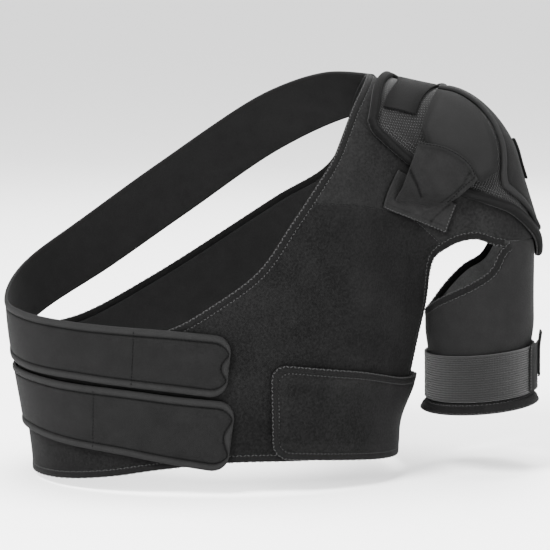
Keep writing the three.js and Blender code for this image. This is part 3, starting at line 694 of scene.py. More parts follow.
# ---------------------------------------------------------------- the wrap's edges
neck_edge = smooth_line([
    on_body(-1.0, 0, -0.615), on_body(-0.69, -0.75, -0.603), on_body(-0.4, -0.91, -0.588),
    on_body(-0.14, -0.98, -0.548), on_body(0.03, -1.0, -0.498), on_body(0.26, -0.98, -0.412),
    on_body(0.42, -0.91, -0.297), on_body(0.55, -0.79, -0.2), on_body(0.62, -0.71, -0.148),
    on_body(0.73, -0.41, -0.02), on_body(0.78, -0.25, 0.026), on_body(0.81, 0.04, 0.05),
    on_body(0.75, 0.42, -0.015), on_body(0.64, 0.75, -0.19), on_body(0.34, 0.94, -0.296),
    on_body(-0.32, 0.97, -0.513), on_body(-0.7, 0.76, -0.61),
], True)
hem_edge = smooth_line([
    on_body(0.99, -0.12, -0.922), on_body(0.71, -0.64, -0.901), on_body(0.46, -0.82, -0.896),
    on_body(0.11, -0.91, -0.896), on_body(-0.23, -0.9, -0.916), on_body(-0.47, -0.81, -0.939),
    on_body(-0.69, -0.59, -0.957), on_body(-0.89, 0, -0.968), on_body(-0.69, 0.64, -0.962),
    on_body(-0.29, 0.89, -0.951), on_body(0.17, 0.91, -0.942), on_body(0.62, 0.73, -0.936),
    on_body(0.87, 0.42, -0.933), on_body(0.98, 0.22, -0.93),
])
SEAM_LEVEL = -(SEAM_DROP + BESIDE_BINDING + 0.6) / ARM_DIAMETER
armhole_edge = smooth_line([
    on_body(0.99, -0.12, -0.922), on_body(1.03, -0.13, -0.76), on_body(1.08, -0.14, -0.62),
    on_shoulder(-0.26, -0.17, -2.01), on_shoulder(-0.24, -0.23, -1.75), on_shoulder(-0.2, -0.31, -1.56),
    on_shoulder(-0.08, -0.38, -1.44), on_shoulder(0.04, -0.43, -1.37), on_shoulder(0.2, -0.48, -1.34),
    on_shoulder(0.37, -0.47, -1.4), on_shoulder(0.66, -0.3, SEAM_LEVEL), on_shoulder(0.79, 0.02, SEAM_LEVEL),
    on_shoulder(0.66, 0.34, SEAM_LEVEL), on_shoulder(0.37, 0.51, -1.41), on_shoulder(0.17, 0.5, -1.37),
    on_shoulder(-0.04, 0.46, -1.43), on_shoulder(-0.2, 0.35, -1.65), on_shoulder(-0.28, 0.28, -2.02),
    on_body(1.05, 0.2, -0.68), on_body(0.98, 0.22, -0.93),
], False, opening_field)

neck_fabric = moved_line(neck_edge, -BESIDE_BINDING, body_field)
hem_fabric = moved_line(hem_edge, -BESIDE_BINDING, chest_field)
armhole_fabric = moved_line(armhole_edge, BESIDE_BINDING, opening_field)

side_on_hem = hem_fabric.near(settled(on_body(-0.89, 0, -0.968)))
front_corner = neck_fabric.near(settled(on_body(0.54, -0.84, -0.255)))
back_corner = neck_fabric.near(settled(on_body(0.54, 0.84, -0.235)))
arm_front = armhole_fabric.near(settled(on_shoulder(-0.12, -0.35, -1.42)))
arm_back = armhole_fabric.near(settled(on_shoulder(-0.12, 0.42, -1.45)))

# ---------------------------------------------------------------- folds
def creases(*lines):
    """Soft ridges or dents on one piece, between shares of its own run and rows, with width and height."""
    def relief(cloth):
        size = np.array([cloth.total_u.mean(), cloth.total_v.mean()])
        spots = np.stack([cloth.u, cloth.v], -1)
        total = 0
        for start, end, width, height in lines:
            start, end = np.array(start) * size, np.array(end) * size
            axis = end - start
            share = np.clip((spots - start) @ axis / (axis @ axis), 0, 1)
            total = total + height * np.exp(-(length_of(spots - start - share[..., None] * axis) / width) ** 2)
        return total
    return relief


def ripple(size, height, seed=0):
    """Slow uneven waves over the fabric."""
    turns = np.random.default_rng(seed).uniform(0, 6.28, (5, 4))

    def drape(cloth):
        total = 0
        for row in turns:
            way = np.array([math.cos(row[0]), math.sin(row[1]), math.sin(row[2])])
            total = total + np.sin(cloth.at @ way * (2 * math.pi / size) + row[3])
        return total * height / 5
    return drape


# ---------------------------------------------------------------- the wrap
FINE = 3
yoke_columns = 18 * FINE
yoke_grid = loft([
    neck_fabric.spaced(yoke_columns, front_corner, back_corner),
    smooth_line([
        on_shoulder(-0.87, -0.76, -1.01), on_shoulder(-0.62, -0.54, -0.4), on_shoulder(-0.33, 0.03, 0.08),
        on_shoulder(-0.62, 0.54, -0.4), on_shoulder(-0.87, 0.8, -1.01),
    ]).spaced(yoke_columns),
    smooth_line([
        on_shoulder(-0.43, -0.46, -1.15), on_shoulder(-0.05, -0.53, -0.67), on_shoulder(0.45, 0, -0.4),
        on_shoulder(-0.05, 0.53, -0.67), on_shoulder(-0.43, 0.5, -1.15),
    ]).spaced(yoke_columns),
    armhole_fabric.spaced(yoke_columns, arm_front, arm_back),
], 14 * FINE)
yoke = Cloth(yoke_grid, 0, PANEL, drape=ripple(70, 0.25, 1))
yoke_piece = yoke.build("shoulder_yoke_fabric", "shoulder_yoke", "yoke_fabric", "lining")

PANEL_ROWS = 10 * FINE
neck_start = neck_fabric.at(0)
hem_side = hem_fabric.at(side_on_hem)
side_seam = settled(lerp(hem_side[None], neck_start[None], np.linspace(0, 1, PANEL_ROWS + 1)[:, None]))


def wrap_panel(side, neck_from, neck_to, seam, hem_split, hem_end, armhole_from, armhole_to):
    start = shifted(side_seam, side * 0.05)
    neck_steps = steps_for(neck_fabric.length * abs(neck_to - neck_from), 20) * FINE
    top = np.concatenate([
        neck_fabric.spaced(neck_steps, neck_from, neck_to), shifted(seam, side * -0.5)[1:]])
    bottom = np.concatenate([
        hem_fabric.spaced(neck_steps, side_on_hem, hem_split),
        hem_fabric.spaced(len(seam) - 1, hem_split, hem_end)[1:]])
    end = armhole_fabric.spaced(PANEL_ROWS, armhole_from, armhole_to)
    top[0], bottom[0], end[0], top[-1] = start[-1], start[0], bottom[-1], end[-1]
    return fill(bottom, top, start, end)


hem_share = BESIDE_BINDING / hem_edge.length
armhole_share = BESIDE_BINDING / armhole_edge.length
front_grid = wrap_panel(
    -1, 0, front_corner, yoke_grid[0][:, 0], hem_fabric.near(settled(on_body(0.5, -0.8, -0.9))), hem_share,
    armhole_share, arm_front)
back_grid = wrap_panel(
    1, 1, back_corner, yoke_grid[0][:, -1], hem_fabric.near(settled(on_body(0.5, 0.8, -0.94))), 1 - hem_share,
    1 - armhole_share, arm_back)
front = Cloth(front_grid, 0, PANEL, drape=ripple(90, 0.3, 2))
back = Cloth(back_grid, 0, PANEL, drape=ripple(90, 0.3, 3))
front_piece = front.build("front_panel_fabric", "front_panel", "loop_fabric", "lining")
back_piece = back.build("back_panel_fabric", "back_panel", "loop_fabric", "lining")


# ---------------------------------------------------------------- bindings and their cover stitch
PROUD = 0.3
BINDING_STEP = 5


def strip_grid(outer, inner, field=chest_field):
    count = 6
    share = np.linspace(0, 1, count + 1)[:, None, None]
    at = lerp(outer[None], inner[None], share)
    ends = np.stack([settle(outer, field)[1], settle(inner, field)[1]])
    return at, unit(lerp(ends[:1], ends[1:], share))


def crowned(height):
    """A relief that swells between the long edges."""
    def relief(cloth):
        share = cloth.v / np.maximum(cloth.total_v, 1e-6)
        return height * np.sin(np.pi * np.clip(share, 0, 1)) ** 0.8
    return relief


def taped(grid, ring=False):
    """A binding's tape, which stands a little proud of the fabric on both faces."""
    return Cloth(grid, -PROUD, PANEL + 2 * PROUD, ring=ring, step=TAPE_STEP, near=TAPE_ROWS, relief=crowned(0.25))


def bound_edge(name, node_name, line, inward, start, end, field):
    points = line.spaced(steps_for(line.length * (end - start), BINDING_STEP), start, end)
    outer = settled(points[:-1] if line.closed else points, field)
    inner = settled(shifted(outer, inward * BINDING_WIDTH, line.closed, field), field)
    cloth = taped(strip_grid(outer, inner, field), line.closed)
    return cloth, cloth.build(name, node_name, "binding")


def cover_stitch(name, cloth):
    """Small slanting threads in two sewn rows on a binding."""
    count, pitch, swing = 400, 3.3, 0.7
    columns = np.linspace(0.002, 0.998, count)
    runs = [run_of(cloth, np.full(count, row), columns, pitch, 0.72, swing * side)
            for row, side in ((0.3, 1), (0.74, -1))]
    return stitches(name, *joined(*runs), "thread")


for name, node_name, line, inward, start, end, field in (
    ("neck_binding_tape", "neck_binding", neck_edge, -1, 0, 1, body_field),
    ("hem_binding_tape", "hem_binding", hem_edge, -1, 0, 1, chest_field),
    ("armhole_binding_front_tape", "armhole_binding_front", armhole_edge, 1, 2 * armhole_share,
     armhole_edge.near(settled(on_shoulder(0.45, -0.43, -1.42))), opening_field),
    ("armhole_binding_back_tape", "armhole_binding_back", armhole_edge, 1,
     armhole_edge.near(settled(on_shoulder(0.45, 0.47, -1.42))), 1 - 2 * armhole_share, opening_field),
):
    cloth, made = bound_edge(name, node_name, line, inward, start, end, field)
    cover_stitch(node_name + "_thread", cloth)
    node_name + "_thread"


# ---------------------------------------------------------------- straps
def corner_cut(corner, from_end):
    inside = np.minimum(from_end, corner)
    return corner - np.sqrt(np.maximum(0, corner ** 2 - (corner - inside) ** 2))


# Steps round a cut corner, closer towards the strap's end.
END_SHARES = (1, 0.84, 0.7, 0.56, 0.44, 0.33, 0.23, 0.15, 0.08, 0.03, 0)


def run_to(length, corner, count):
    straight = length - corner
    return np.concatenate([straight * np.arange(count) / count, length - corner * np.array(END_SHARES)])


def strap_grid(path, width, corner=15, step=6, rows=12):
    field = chest_field
    line = smooth_line([point for point, _ in path], False, field)
    runs = run_to(line.length, corner, steps_for(line.length - corner, step))
    centre = settled(line.at(runs / line.length), field)
    widths = np.interp(line.place_at(runs / line.length) * (len(path) - 1), np.arange(len(path)),
                       [share for _, share in path])
    halves = width * widths / 2 - corner_cut(corner, line.length - runs)
    low, high = (settled(shifted(centre, sign * halves, False, field), field) for sign in (-1, 1))
    return across(low, high, rows, field)


def piped(width=6.2, height=0.9, groove=0.7):
    """A rolled edge with a sewn groove inside it."""
    def relief(cloth):
        bead = height * np.sin(np.pi * np.clip(cloth.edge / width, 0, 1)) ** 0.7
        sunk = groove * np.exp(-((cloth.edge - width - 0.7) / 0.9) ** 2)
        return np.where(cloth.edge < width, bead, 0) - sunk
    return relief


def edge_track(grid, inset, height):
    """A track at a distance inside a strap's long edges and its free end."""
    at = grid[0]
    outline = np.concatenate([at[0], at[1:-1, -1], at[-1, ::-1]])
    inside = outline + left_of(outline, False, chest_field) * inset
    track, out = settle(inside[1:-1], chest_field)
    return track + out * height, out


upper_path = (
    (on_shoulder(-0.68, 0.43, 0), 0.72), (on_body(0.68, 0.57, -0.009), 0.9), (on_body(0.35, 0.81, -0.081), 0.97),
    (on_body(-0.21, 0.95, -0.276), 1), (on_body(-0.63, 0.82, -0.427), 1), (on_body(-0.94, 0.36, -0.54), 0.96),
    (on_body(-1.0, -0.07, -0.586), 0.93), (on_body(-0.87, -0.51, -0.604), 0.94),
    (on_body(-0.6, -0.82, -0.615), 0.92), (on_body(-0.19, -0.98, -0.631), 0.97), (on_body(0.12, -0.98, -0.648), 1),
)
lower_path = (
    (on_body(0.68, 0.78, -0.667), 1), (on_body(0.17, 0.97, -0.71), 1), (on_body(-0.31, 0.92, -0.748), 0.97),
    (on_body(-0.71, 0.64, -0.76), 0.92), (on_body(-0.94, 0.04, -0.765), 0.9), (on_body(-0.86, -0.42, -0.766), 0.92),
    (on_body(-0.67, -0.69, -0.778), 0.95), (on_body(-0.4, -0.87, -0.791), 0.98),
    (on_body(-0.14, -0.93, -0.81), 1.02), (on_body(0.13, -0.94, -0.828), 1.07),
)
upper_grid, lower_grid = strap_grid(upper_path, 55), strap_grid(lower_path, 60)
upper = Cloth(upper_grid, OVER_PANEL, STRAP, near=PIPED_ROWS, relief=piped())
lower = Cloth(lower_grid, OVER_PANEL, STRAP, near=PIPED_ROWS, relief=piped())
upper_piece = upper.build("upper_strap_fabric", "upper_strap", "strap_fabric", "lining")
lower_piece = lower.build("lower_strap_fabric", "lower_strap", "strap_fabric", "lining")


STRAP_PITCH = 3.4


def seam_across(cloth, column, margin=0.14, reach=9):
    """A straight sewn line across a strap, found within reach of its middle column."""
    height, width = cloth.at.shape[:2]
    middle, close = height // 2, int(column * (width - 1))
    along = unit(cloth.at[middle, close + 1] - cloth.at[middle, close - 1])
    rows = np.linspace(margin, 1 - margin, 60)
    columns = []
    for row in rows:
        line = cloth.at[round(row * (height - 1)), close - reach:close + reach + 1]
        crossing = np.interp(0, (line - cloth.at[middle, close]) @ along, np.arange(2 * reach + 1))
        columns.append((close - reach + crossing) / (width - 1))
    return run_of(cloth, rows, np.array(columns), STRAP_PITCH, 0.6)


for name, cloth, grid, seam_at in (
        ("upper_strap", upper, upper_grid, 0.865), ("lower_strap", lower, lower_grid, 0.78)):
    edge_run = run_along(*edge_track(grid, 6.9, OVER_PANEL + STRAP - 0.6), STRAP_PITCH, 0.62)
    sewn = joined(edge_run, seam_across(cloth, seam_at), seam_across(cloth, 0.05))
    stitches(name + "_thread", *sewn, "dark_thread", slot="strap_fabric")

# ---------------------------------------------------------------- the side tab
tab_top = smooth_line([
    on_body(1.0, 0.2, -0.724), on_body(1.02, -0.05, -0.72), on_body(0.93, -0.33, -0.71),
    on_body(0.75, -0.68, -0.675), on_body(0.53, -0.87, -0.655), on_body(0.32, -0.95, -0.64),
], False, chest_field)
tab_bottom = smooth_line([
    on_body(0.98, 0.215, -0.93), on_body(0.99, -0.05, -0.93), on_body(0.92, -0.28, -0.925),
    on_body(0.72, -0.64, -0.905), on_body(0.52, -0.82, -0.893), on_body(0.33, -0.9, -0.885),
], False, chest_field)
TAB_CLIMB = 24
TAB_CORNER = 14


def tab_edges(inset):
    length = tab_top.length
    corner = TAB_CORNER - inset * 0.5
    runs = run_to(length - inset, corner, 30)
    top, bottom = (line.at(np.minimum(1, runs / length)) for line in (tab_top, tab_bottom))
    cut = (inset + corner_cut(corner, length - inset - runs))[:, None]
    towards = unit(bottom - top)
    return runs, settled(top + towards * cut, chest_field), settled(bottom - towards * cut, chest_field)


def tab_climb(run):
    """The tab rises from the underarm seam onto the front panel."""
    return OVER_PANEL * smoothstep(run, 0, TAB_CLIMB)


_, tab_fabric_top, tab_fabric_bottom = tab_edges(BESIDE_BINDING)
tab_cloth = Cloth(across(tab_fabric_bottom, tab_fabric_top, 24, chest_field), lambda cloth: tab_climb(cloth.u), PANEL,
                  relief=lambda cloth: 0.3 * np.exp(-((cloth.edge - 6) / 5) ** 2))
tab_piece = tab_cloth.build("side_tab_fabric", "side_tab", "loop_fabric", "lining")


def rim_points(inset):
    runs, top, bottom = tab_edges(inset)
    return np.concatenate([bottom, top[::-1]]), np.concatenate([runs, runs[::-1]])


outer_rim, rim_runs = rim_points(0)
inner_rim, _ = rim_points(BINDING_WIDTH)
rim_length = np.concatenate([[0], np.cumsum(length_of(np.diff(outer_rim, axis=0)))])


def tab_rim_lift(cloth):
    rise = tab_climb(np.interp(cloth.u / cloth.total_u * rim_length[-1], rim_length, rim_runs))
    return rise - PROUD * (rise > 0.2)


tab_rim = Cloth(strip_grid(outer_rim, inner_rim, chest_field), tab_rim_lift, PANEL + PROUD, step=TAPE_STEP,
                near=TAPE_ROWS, relief=crowned(0.35))
tab_rim_piece = tab_rim.build("side_tab_binding_tape", "side_tab_binding", "binding")
tab_thread = cover_stitch("side_tab_binding_thread", tab_rim)


# ---------------------------------------------------------------- the sleeve
def hem_at(turn):
    return -SLEEVE_REACH + SLEEVE_TILT * np.sin(np.radians(turn))


def arm_spot(turn, z):
    turn, z = np.broadcast_arrays(np.asarray(turn, float), np.asarray(z, float))
    angle = np.radians(turn)
    share = np.clip((z - DELTOID[1][2]) / (ELBOW_END[2] - DELTOID[1][2]), 0, 1)[..., None]
    axis = lerp(DELTOID[1], ELBOW_END, share)
    points = np.stack([axis[..., 0] + ARM_RADIUS * np.sin(angle), axis[..., 1] - ARM_RADIUS * np.cos(angle), z], -1)
    return settle(points, arm_field)


# The sleeve's free top edge: turns round the arm in degrees, with the share of the sleeve's reach there.
free_turns_drops = (
    (153, 0.455), (163, 0.48), (174, 0.53), (192, 0.563), (212, 0.613), (240, 0.677), (270, 0.688),
    (305, 0.642), (328, 0.609), (346, 0.581), (366, 0.538), (377, 0.477), (387, 0.455),
)
free_edge = Line(arm_spot(*(np.array(free_turns_drops) * (1, -SLEEVE_REACH)).T)[0])
free_columns, seam_columns = 20 * FINE, 11 * FINE
free_outer = free_edge.spaced(free_columns)
free_fabric = shifted(free_outer, -BESIDE_BINDING, False, arm_field)[1:-1]
SEAM_FROM, SEAM_TO = 29, 151
seam_turns = np.linspace(SEAM_FROM, SEAM_TO, seam_columns + 1)
free_turns = lerp(SEAM_TO, 360 + SEAM_FROM, (np.arange(free_columns - 1) + 1) / free_columns)
sleeve_turns = np.concatenate([seam_turns, free_turns])
sleeve_top = np.concatenate([arm_spot(seam_turns, -SEAM_DROP - 0.7)[0], free_fabric])
sleeve_bottom = arm_spot(sleeve_turns, hem_at(sleeve_turns) + BESIDE_BINDING)[0]
sleeve_grid = across(sleeve_bottom, sleeve_top, 40, arm_field)
sleeve = Cloth(sleeve_grid, 0, PANEL, ring=True, drape=ripple(60, 0.35, 5))
sleeve_piece = sleeve.build("arm_sleeve_fabric", "arm_sleeve", "sleeve_fabric", "sleeve_lining_painted_light")
free_strip = strip_grid(free_outer, shifted(free_outer, -BINDING_WIDTH, False, arm_field), arm_field)
sleeve_edge = taped(free_strip)
sleeve_edge_piece = sleeve_edge.build("sleeve_top_binding_tape", "sleeve_top_binding", "binding")
sleeve_edge_thread = cover_stitch("sleeve_top_binding_thread", sleeve_edge)

arm_turns = np.linspace(0, 360, 120, endpoint=False)


def ring_grid(turns, low, high, rows):
    share = np.linspace(0, 1, rows + 1)[:, None]
    return arm_spot(turns[None, :], lerp(low[None, :], high[None, :], share))


sleeve_hem = taped(ring_grid(arm_turns, hem_at(arm_turns), hem_at(arm_turns) + BINDING_WIDTH, 6), True)
sleeve_hem_piece = sleeve_hem.build("sleeve_hem_binding_tape", "sleeve_hem_binding", "binding")
sleeve_hem_thread = cover_stitch("sleeve_hem_binding_thread", sleeve_hem)

band_low = hem_at(arm_turns) + SLEEVE_REACH - BAND_DROP - BAND_WIDTH / 2
arm_band = Cloth(
    ring_grid(arm_turns, band_low, band_low + BAND_WIDTH, 14), OVER_PANEL, BAND, ring=True, step=1.6,
    near=(0, 0.1, 0.4, 1.0), relief=lambda cloth: 0.14 * np.sin(cloth.v * 2 * np.pi / 4.3))
arm_band_piece = arm_band.build("arm_band_elastic", "arm_band", "elastic")
OVER_BAND = OVER_PANEL + BAND + LAYER_GAP


def patch_grid(middle, width, height, drop):
    spread = math.degrees(width / (ARM_RADIUS + OVER_PANEL))
    turns = np.linspace(middle - spread / 2, middle + spread / 2, 17)
    level = np.full(len(turns), -drop)
    return ring_grid(turns, level - height / 2, level + height / 2, 16)


keeper = Cloth(patch_grid(70, 26, 47, BAND_DROP - SLEEVE_TILT), OVER_BAND, TAB, near=TAB_ROWS, step=2,
               relief=lambda cloth: -0.4 * np.exp(-((cloth.edge - 3.4) / 0.9) ** 2))
keeper_piece = keeper.build("arm_band_keeper_tape", "arm_band_keeper", "hook_tape")
pull_end = Cloth(patch_grid(86, 16, 42, BAND_DROP - 16), OVER_BAND + TAB + CLIP_GAP, TAB, step=2,
                 near=TAB_ROWS, relief=lambda cloth: 0.25 * np.exp(-((cloth.edge - 2.4) / 1.2) ** 2))
pull_end_piece = pull_end.build("arm_band_end_tab", "arm_band_end", "pull_tab")


# ---------------------------------------------------------------- the overlay cap
# The overlay runs between its front edge, a line over the shoulder, and its back edge.
cap_lines = (
    smooth_line([
        on_shoulder(-0.87, -0.565, -0.21), on_shoulder(-0.83, -0.6, -0.31), on_shoulder(-0.72, -0.58, -0.42),
        on_shoulder(-0.51, -0.52, -0.59), on_shoulder(0.05, -0.51, -0.91), on_shoulder(0.3, -0.48, -1.01),
        on_shoulder(0.5, -0.38, -1.11), on_shoulder(0.72, -0.185, -1.36),
    ]),
    smooth_line([
        on_shoulder(-0.8, -0.22, 0.07), on_shoulder(-0.38, 0.0, 0.1), on_shoulder(0, 0.02, 0),
        on_shoulder(0.33, 0.02, -0.22), on_shoulder(0.54, 0.02, -0.6), on_shoulder(0.7, 0.02, -1.03),
        on_shoulder(0.82, 0.02, -1.56),
    ]),
    smooth_line([
        on_shoulder(-0.68, 0.17, 0.13), on_shoulder(-0.42, 0.52, -0.2), on_shoulder(-0.13, 0.54, -0.67),
        on_shoulder(0.3, 0.51, -1.01), on_shoulder(0.5, 0.42, -1.11), on_shoulder(0.72, 0.22, -1.36),
    ]),
)


def cap_spot(u, v):
    u, v = np.broadcast_arrays(np.asarray(u, float), np.asarray(v, float))
    rails = np.stack([line.at(v.ravel()) for line in cap_lines])
    return settle(along_rails(rails, u.ravel()).reshape(u.shape + (3,)))


def cap_zone(rows, columns, fine=4):
    """Part of the overlay, from rows of how far down it lies and where it starts and ends across."""
    v, start, end = np.array(rows, float).T
    place = np.linspace(0, len(rows) - 1, (len(rows) - 1) * fine + 1)
    index = np.arange(len(rows))
    v, start, end = (np.interp(place, index, part)[:, None] for part in (v, start, end))
    return cap_spot(lerp(start, end, np.linspace(0, 1, columns + 1)[None]), v)


cap_mesh = Cloth(cap_zone([(v, 0, 1) for v in np.linspace(0, 1, 17)], 56), OVER_YOKE, MESH)
cap_mesh_piece = cap_mesh.build("cap_mesh_fabric", "cap_mesh", "mesh", "lining")

# Round the overlay's edge: down the front, along the arm, up the back and past the neck.
edge_v = np.concatenate([np.linspace(0, 1, 61), np.ones(11), np.linspace(1, 0, 61), np.zeros(14)])
edge_u = np.concatenate([np.zeros(61), np.linspace(0, 1, 13)[1:-1], np.ones(61), np.linspace(1, 0, 16)[1:-1]])
cap_edge = cap_spot(edge_u, edge_v)[0]
RIM_WIDTH = 8.5
cap_inner = settled(shifted(cap_edge, RIM_WIDTH, True, body_field))
cap_rim = Cloth(
    strip_grid(cap_edge, cap_inner, body_field), OVER_YOKE - 0.4, RIM + LAYER_GAP + 0.4, ring=True, step=1.2,
    near=(0, 0.08, 0.3, 0.7, 1.3, 2.0, 2.8), roll=2.8,
    relief=lambda cloth: crowned(0.5)(cloth) - 0.5 * np.exp(-((cloth.v / cloth.total_v - 0.62) / 0.07) ** 2))
cap_rim_piece = cap_rim.build("cap_rim_tape", "cap_rim", "rim_tape")

pad_rows = (
    (0.27, 0.17, 0.36), (0.33, 0.12, 0.35), (0.4, 0.1, 0.32), (0.47, 0.1, 0.28), (0.53, 0.11, 0.24),
    (0.58, 0.12, 0.19),
)
outer_rows = (
    (0.27, 0.39, 0.84), (0.33, 0.38, 0.88), (0.4, 0.35, 0.9), (0.47, 0.31, 0.9), (0.54, 0.26, 0.9),
    (0.6, 0.2, 0.89), (0.67, 0.15, 0.87), (0.74, 0.16, 0.85), (0.81, 0.19, 0.82), (0.88, 0.25, 0.76),
    (0.92, 0.35, 0.66),
)
front_pad = Cloth(cap_zone(pad_rows, 30, 8), OVER_MESH, PAD, step=2, near=PADDED_ROWS + (8,),
                  relief=lambda cloth: 0.7 * smoothstep(cloth.edge, 0, 9) - 0.2)
front_pad_piece = front_pad.build("cap_front_pad_cover", "cap_front_pad", "pad_fabric")
outer_band = Cloth(cap_zone(outer_rows, 50, 5), OVER_MESH, STRAP, step=2.4, near=PADDED_ROWS + (7, 8.5),
                   relief=piped(6.5, 1.1, 0.6))
outer_band_piece = outer_band.build("cap_outer_band_cover", "cap_outer_band", "band_fabric")
loop_u = np.linspace(0.205, 0.8, 41)[None]
loop_spread = smoothstep(loop_u, 0.235, 0.5)
loop_near_neck, loop_near_arm = lerp(0.068, 0.098, loop_spread), lerp(0.228, 0.262, loop_spread)
loop_v = lerp(loop_near_neck, loop_near_arm, np.linspace(0, 1, 17)[:, None])
loop = Cloth(cap_spot(loop_u, loop_v), OVER_MESH, TAB, step=2, near=TAB_ROWS, relief=crowned(0.5))
loop_piece = loop.build("shoulder_loop_webbing", "shoulder_loop", "loop_webbing")
back_tab = Cloth(cap_zone([(v, 0.52, 0.8) for v in np.linspace(0.58, 0.73, 4)], 20, 6),
                 OVER_MESH + STRAP + LAYER_GAP, TAB, step=2, near=PIPED_ROWS, relief=piped(4.5, 0.5, 0.4))
back_tab_piece = back_tab.build("back_tab_fabric", "back_tab", "pull_tab")

# ---------------------------------------------------------------- the front anchor and pull tab
anchor_top = smooth_line([
    on_shoulder(-0.57, -0.56, -0.66), on_shoulder(-0.3, -0.53, -0.83), on_shoulder(0.0, -0.52, -1.0)])
anchor_bottom = smooth_line([
    on_shoulder(-0.75, -0.66, -1.02), on_shoulder(-0.42, -0.47, -1.15), on_shoulder(-0.08, -0.41, -1.27)])
anchor_creases = creases(
    ((0.0, 0.14), (1.0, 0.14), 1.0, -0.35), ((0.8, 0.1), (0.86, 0.95), 1.2, -0.5),
    ((0.5, 0.1), (0.78, 0.75), 1.8, 0.4), ((0.3, 0.55), (0.58, 0.14), 2.6, 0.4))
anchor = Cloth(across(anchor_bottom.spaced(24), anchor_top.spaced(24), 16, body_field), OVER_PANEL, TAB, step=1.6,
               near=TAB_ROWS, relief=anchor_creases)
anchor_piece = anchor.build("front_anchor_fabric", "front_anchor", "anchor_painted_light_fabric")
pull_top = smooth_line([
    on_shoulder(-0.38, -0.52, -0.41), on_shoulder(-0.12, -0.54, -0.46), on_shoulder(0.09, -0.54, -0.6),
    on_shoulder(0.17, -0.52, -0.75),
])
pull_bottom = smooth_line([
    on_shoulder(-0.63, -0.57, -0.96), on_shoulder(-0.24, -0.51, -1.0), on_shoulder(-0.04, -0.5, -0.96)])
OVER_PAD = OVER_MESH + PAD + LAYER_GAP
OVER_ANCHOR = OVER_PANEL + TAB + LAYER_GAP


def pull_lift(cloth):
    """The pull tab lies on the pad and comes down to the anchor at its lower end."""
    return lerp(OVER_PAD, OVER_ANCHOR, smoothstep(cloth.v / cloth.total_v, 0.7, 1))


pull_creases = creases(
    ((0.02, 0.5), (0.42, 0.97), 1.3, -1.0), ((0.0, 0.08), (1.0, 0.08), 1.0, -0.5),
    ((0.05, 0.25), (0.6, 0.5), 7.0, 0.3), ((0.87, 0.1), (0.82, 0.9), 1.1, -0.6))
pull_tab = Cloth(across(pull_top.spaced(30), pull_bottom.spaced(30), 24, body_field), pull_lift, TAB, step=1.6,
                 near=TAB_ROWS, relief=pull_creases)
pull_tab_piece = pull_tab.build("front_tab_fabric", "front_tab", "pull_tab")

# ---------------------------------------------------------------- sewn lines
TRACK_POINTS = 200


def level_track(row, start=0.03, end=0.97):
    return np.full(TRACK_POINTS, row), np.linspace(start, end, TRACK_POINTS)


def side_track(column, start=0.03, end=0.97):
    return np.linspace(start, end, TRACK_POINTS), np.full(TRACK_POINTS, column)


def sewn(name, cloth, tracks, pitch, finish, slot):
    """Stitches along tracks, each with how far its stitches slant."""
    runs = [run_of(cloth, *track, pitch, 0.6, slant) for track, slant in tracks]
    return stitches(name, *joined(*runs), finish, slot=slot)


yoke_thread = sewn(
    "shoulder_yoke_thread", yoke, ((side_track(0.012), 0.5), (side_track(0.988), 0.5)), 3.2, "thread", "strap_fabric")
sleeve_thread = sewn(
    "arm_sleeve_thread", sleeve, ((level_track(0.985, 0.0, 0.3), 0.5),), 3.2, "thread", "sleeve_fabric")
anchor_thread = sewn(
    "front_anchor_thread", anchor, ((level_track(0.09), 0.5), (side_track(0.93), 0)), 3.0, "thread", "pull_tab")
loop_thread = sewn(
    "shoulder_loop_thread", loop, ((side_track(0.055, 0.06, 0.94), 0),), 2.8, "dark_thread", "strap_fabric")
pull_tab_thread = sewn(
    "front_tab_thread", pull_tab, ((level_track(0.09, 0.05, 0.86), 0), (side_track(0.865, 0.1, 0.95), 0)), 2.8,
    "dark_thread", "pull_tab")
keeper_thread = sewn(
    "arm_band_keeper_thread", keeper, ((side_track(0.13, 0.06, 0.94), 0), (side_track(0.87, 0.06, 0.94), 0)), 2.6,
    "thread", "hook_tape")
# Rows along the mesh's edge: how far inside the edge, and the edge's points that each row runs between.
MESH_ROWS = ((10.4, 5, 24), (12.8, 5, 23), (15.2, 6, 21), (10.4, 33, 46), (12.6, 34, 45))
mesh_tracks = []
for distance, first, last in MESH_ROWS:
    line = shifted(cap_edge, distance, True, body_field)[first:last]
    at, out = settle(line)
    mesh_tracks.append(run_along(at + out * (OVER_YOKE + MESH - 0.15), out, 1.9, 0.5))
mesh_thread = stitches(
    "cap_mesh_thread", *joined(*mesh_tracks), "light_thread", width=0.7, height=0.7, slot="mesh")

# ---------------------------------------------------------------- flat sizes of the fabric pieces
def declare(cloth):
    """The flat size is measured along the laid fabric, and the area is added up over it."""
    at = cloth.at
    cells = np.cross(at[1:, :-1] - at[:-1, :-1], at[:-1, 1:] - at[:-1, :-1])
    area = length_of(cells).sum() * MM * MM
    length = float(np.max(cloth.total_u)) * MM
    width = max(float(np.max(cloth.total_v)) * MM, area / length)


declare(yoke)
declare(front)
declare(back)
declare(upper)
declare(lower)
declare(tab_cloth)
declare(sleeve)
declare(arm_band)
declare(keeper)
declare(pull_end)
declare(cap_mesh)
declare(loop)
declare(back_tab)
declare(anchor)
declare(pull_tab)


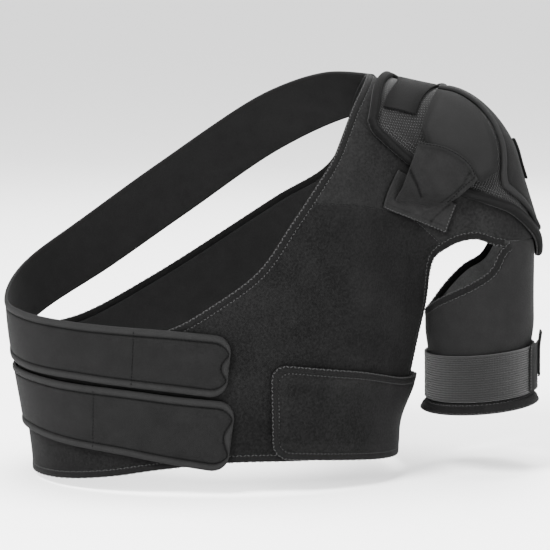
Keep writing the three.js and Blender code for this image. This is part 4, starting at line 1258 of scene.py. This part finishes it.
# ---------------------------------------------------------------- floor, light and camera
def floor_paper():
    made = Finish("studio_floor_paper")
    tone = made.noise(60.0, 2.0)
    return made.finish((0.97, 0.97, 0.97, 1), 0.8 - tone * 0.02, tone, 0.02)


def stage_floor(level, half=60.0):
    """A wide pale floor under the brace."""
    vertices = np.array([(x * half, y * half, level) for x, y in ((-1, -1), (1, -1), (1, 1), (-1, 1))])
    mesh = mesh_of("studio_floor", vertices, np.array([(0, 1, 2, 3)]))
    mesh.materials.append(floor_paper())
    floor = bpy.data.objects.new("studio_floor", mesh)
    bpy.context.scene.collection.objects.link(floor)
    floor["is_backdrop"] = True


FLOOR_DROP = 0.004
stage_floor(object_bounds()[0][2] - FLOOR_DROP)


def soft_light(name, place, aim, size, power):
    lamp = bpy.data.lights.new(name, "AREA")
    lamp.shape = "DISK"
    lamp.size = size
    lamp.energy = power
    holder = bpy.data.objects.new(name, lamp)
    holder.location = place
    holder.rotation_euler = (Vector(aim) - Vector(place)).to_track_quat("-Z", "Y").to_euler()
    bpy.context.scene.collection.objects.link(holder)


centre = (-0.16, 0.0, -0.16)
soft_light("key_light", (-1.3, -1.5, 1.9), centre, 1.0, 250)
soft_light("fill_light", (1.6, -1.6, 0.7), centre, 1.8, 50)
soft_light("top_light", (-0.1, 0.3, 2.1), centre, 1.4, 105)
soft_light("back_light", (0.3, 1.9, 1.2), centre, 1.6, 45)

world = bpy.data.worlds.new("studio")
world.use_nodes = True
world.node_tree.nodes["Background"].inputs["Color"].default_value = (1, 1, 1, 1)
world.node_tree.nodes["Background"].inputs["Strength"].default_value = 1.75
bpy.context.scene.world = world

camera_data = bpy.data.cameras.new("photo_camera")
camera_data.lens = 145.5
camera_data.sensor_width = 36
camera = bpy.data.objects.new("photo_camera", camera_data)
camera.location = (-0.159, -1.981, 0.117)
aim = Vector((-0.159, 0.0, -0.161)) - camera.location
camera.rotation_euler = aim.to_track_quat("-Z", "Y").to_euler()
bpy.context.scene.collection.objects.link(camera)
bpy.context.scene.camera = camera
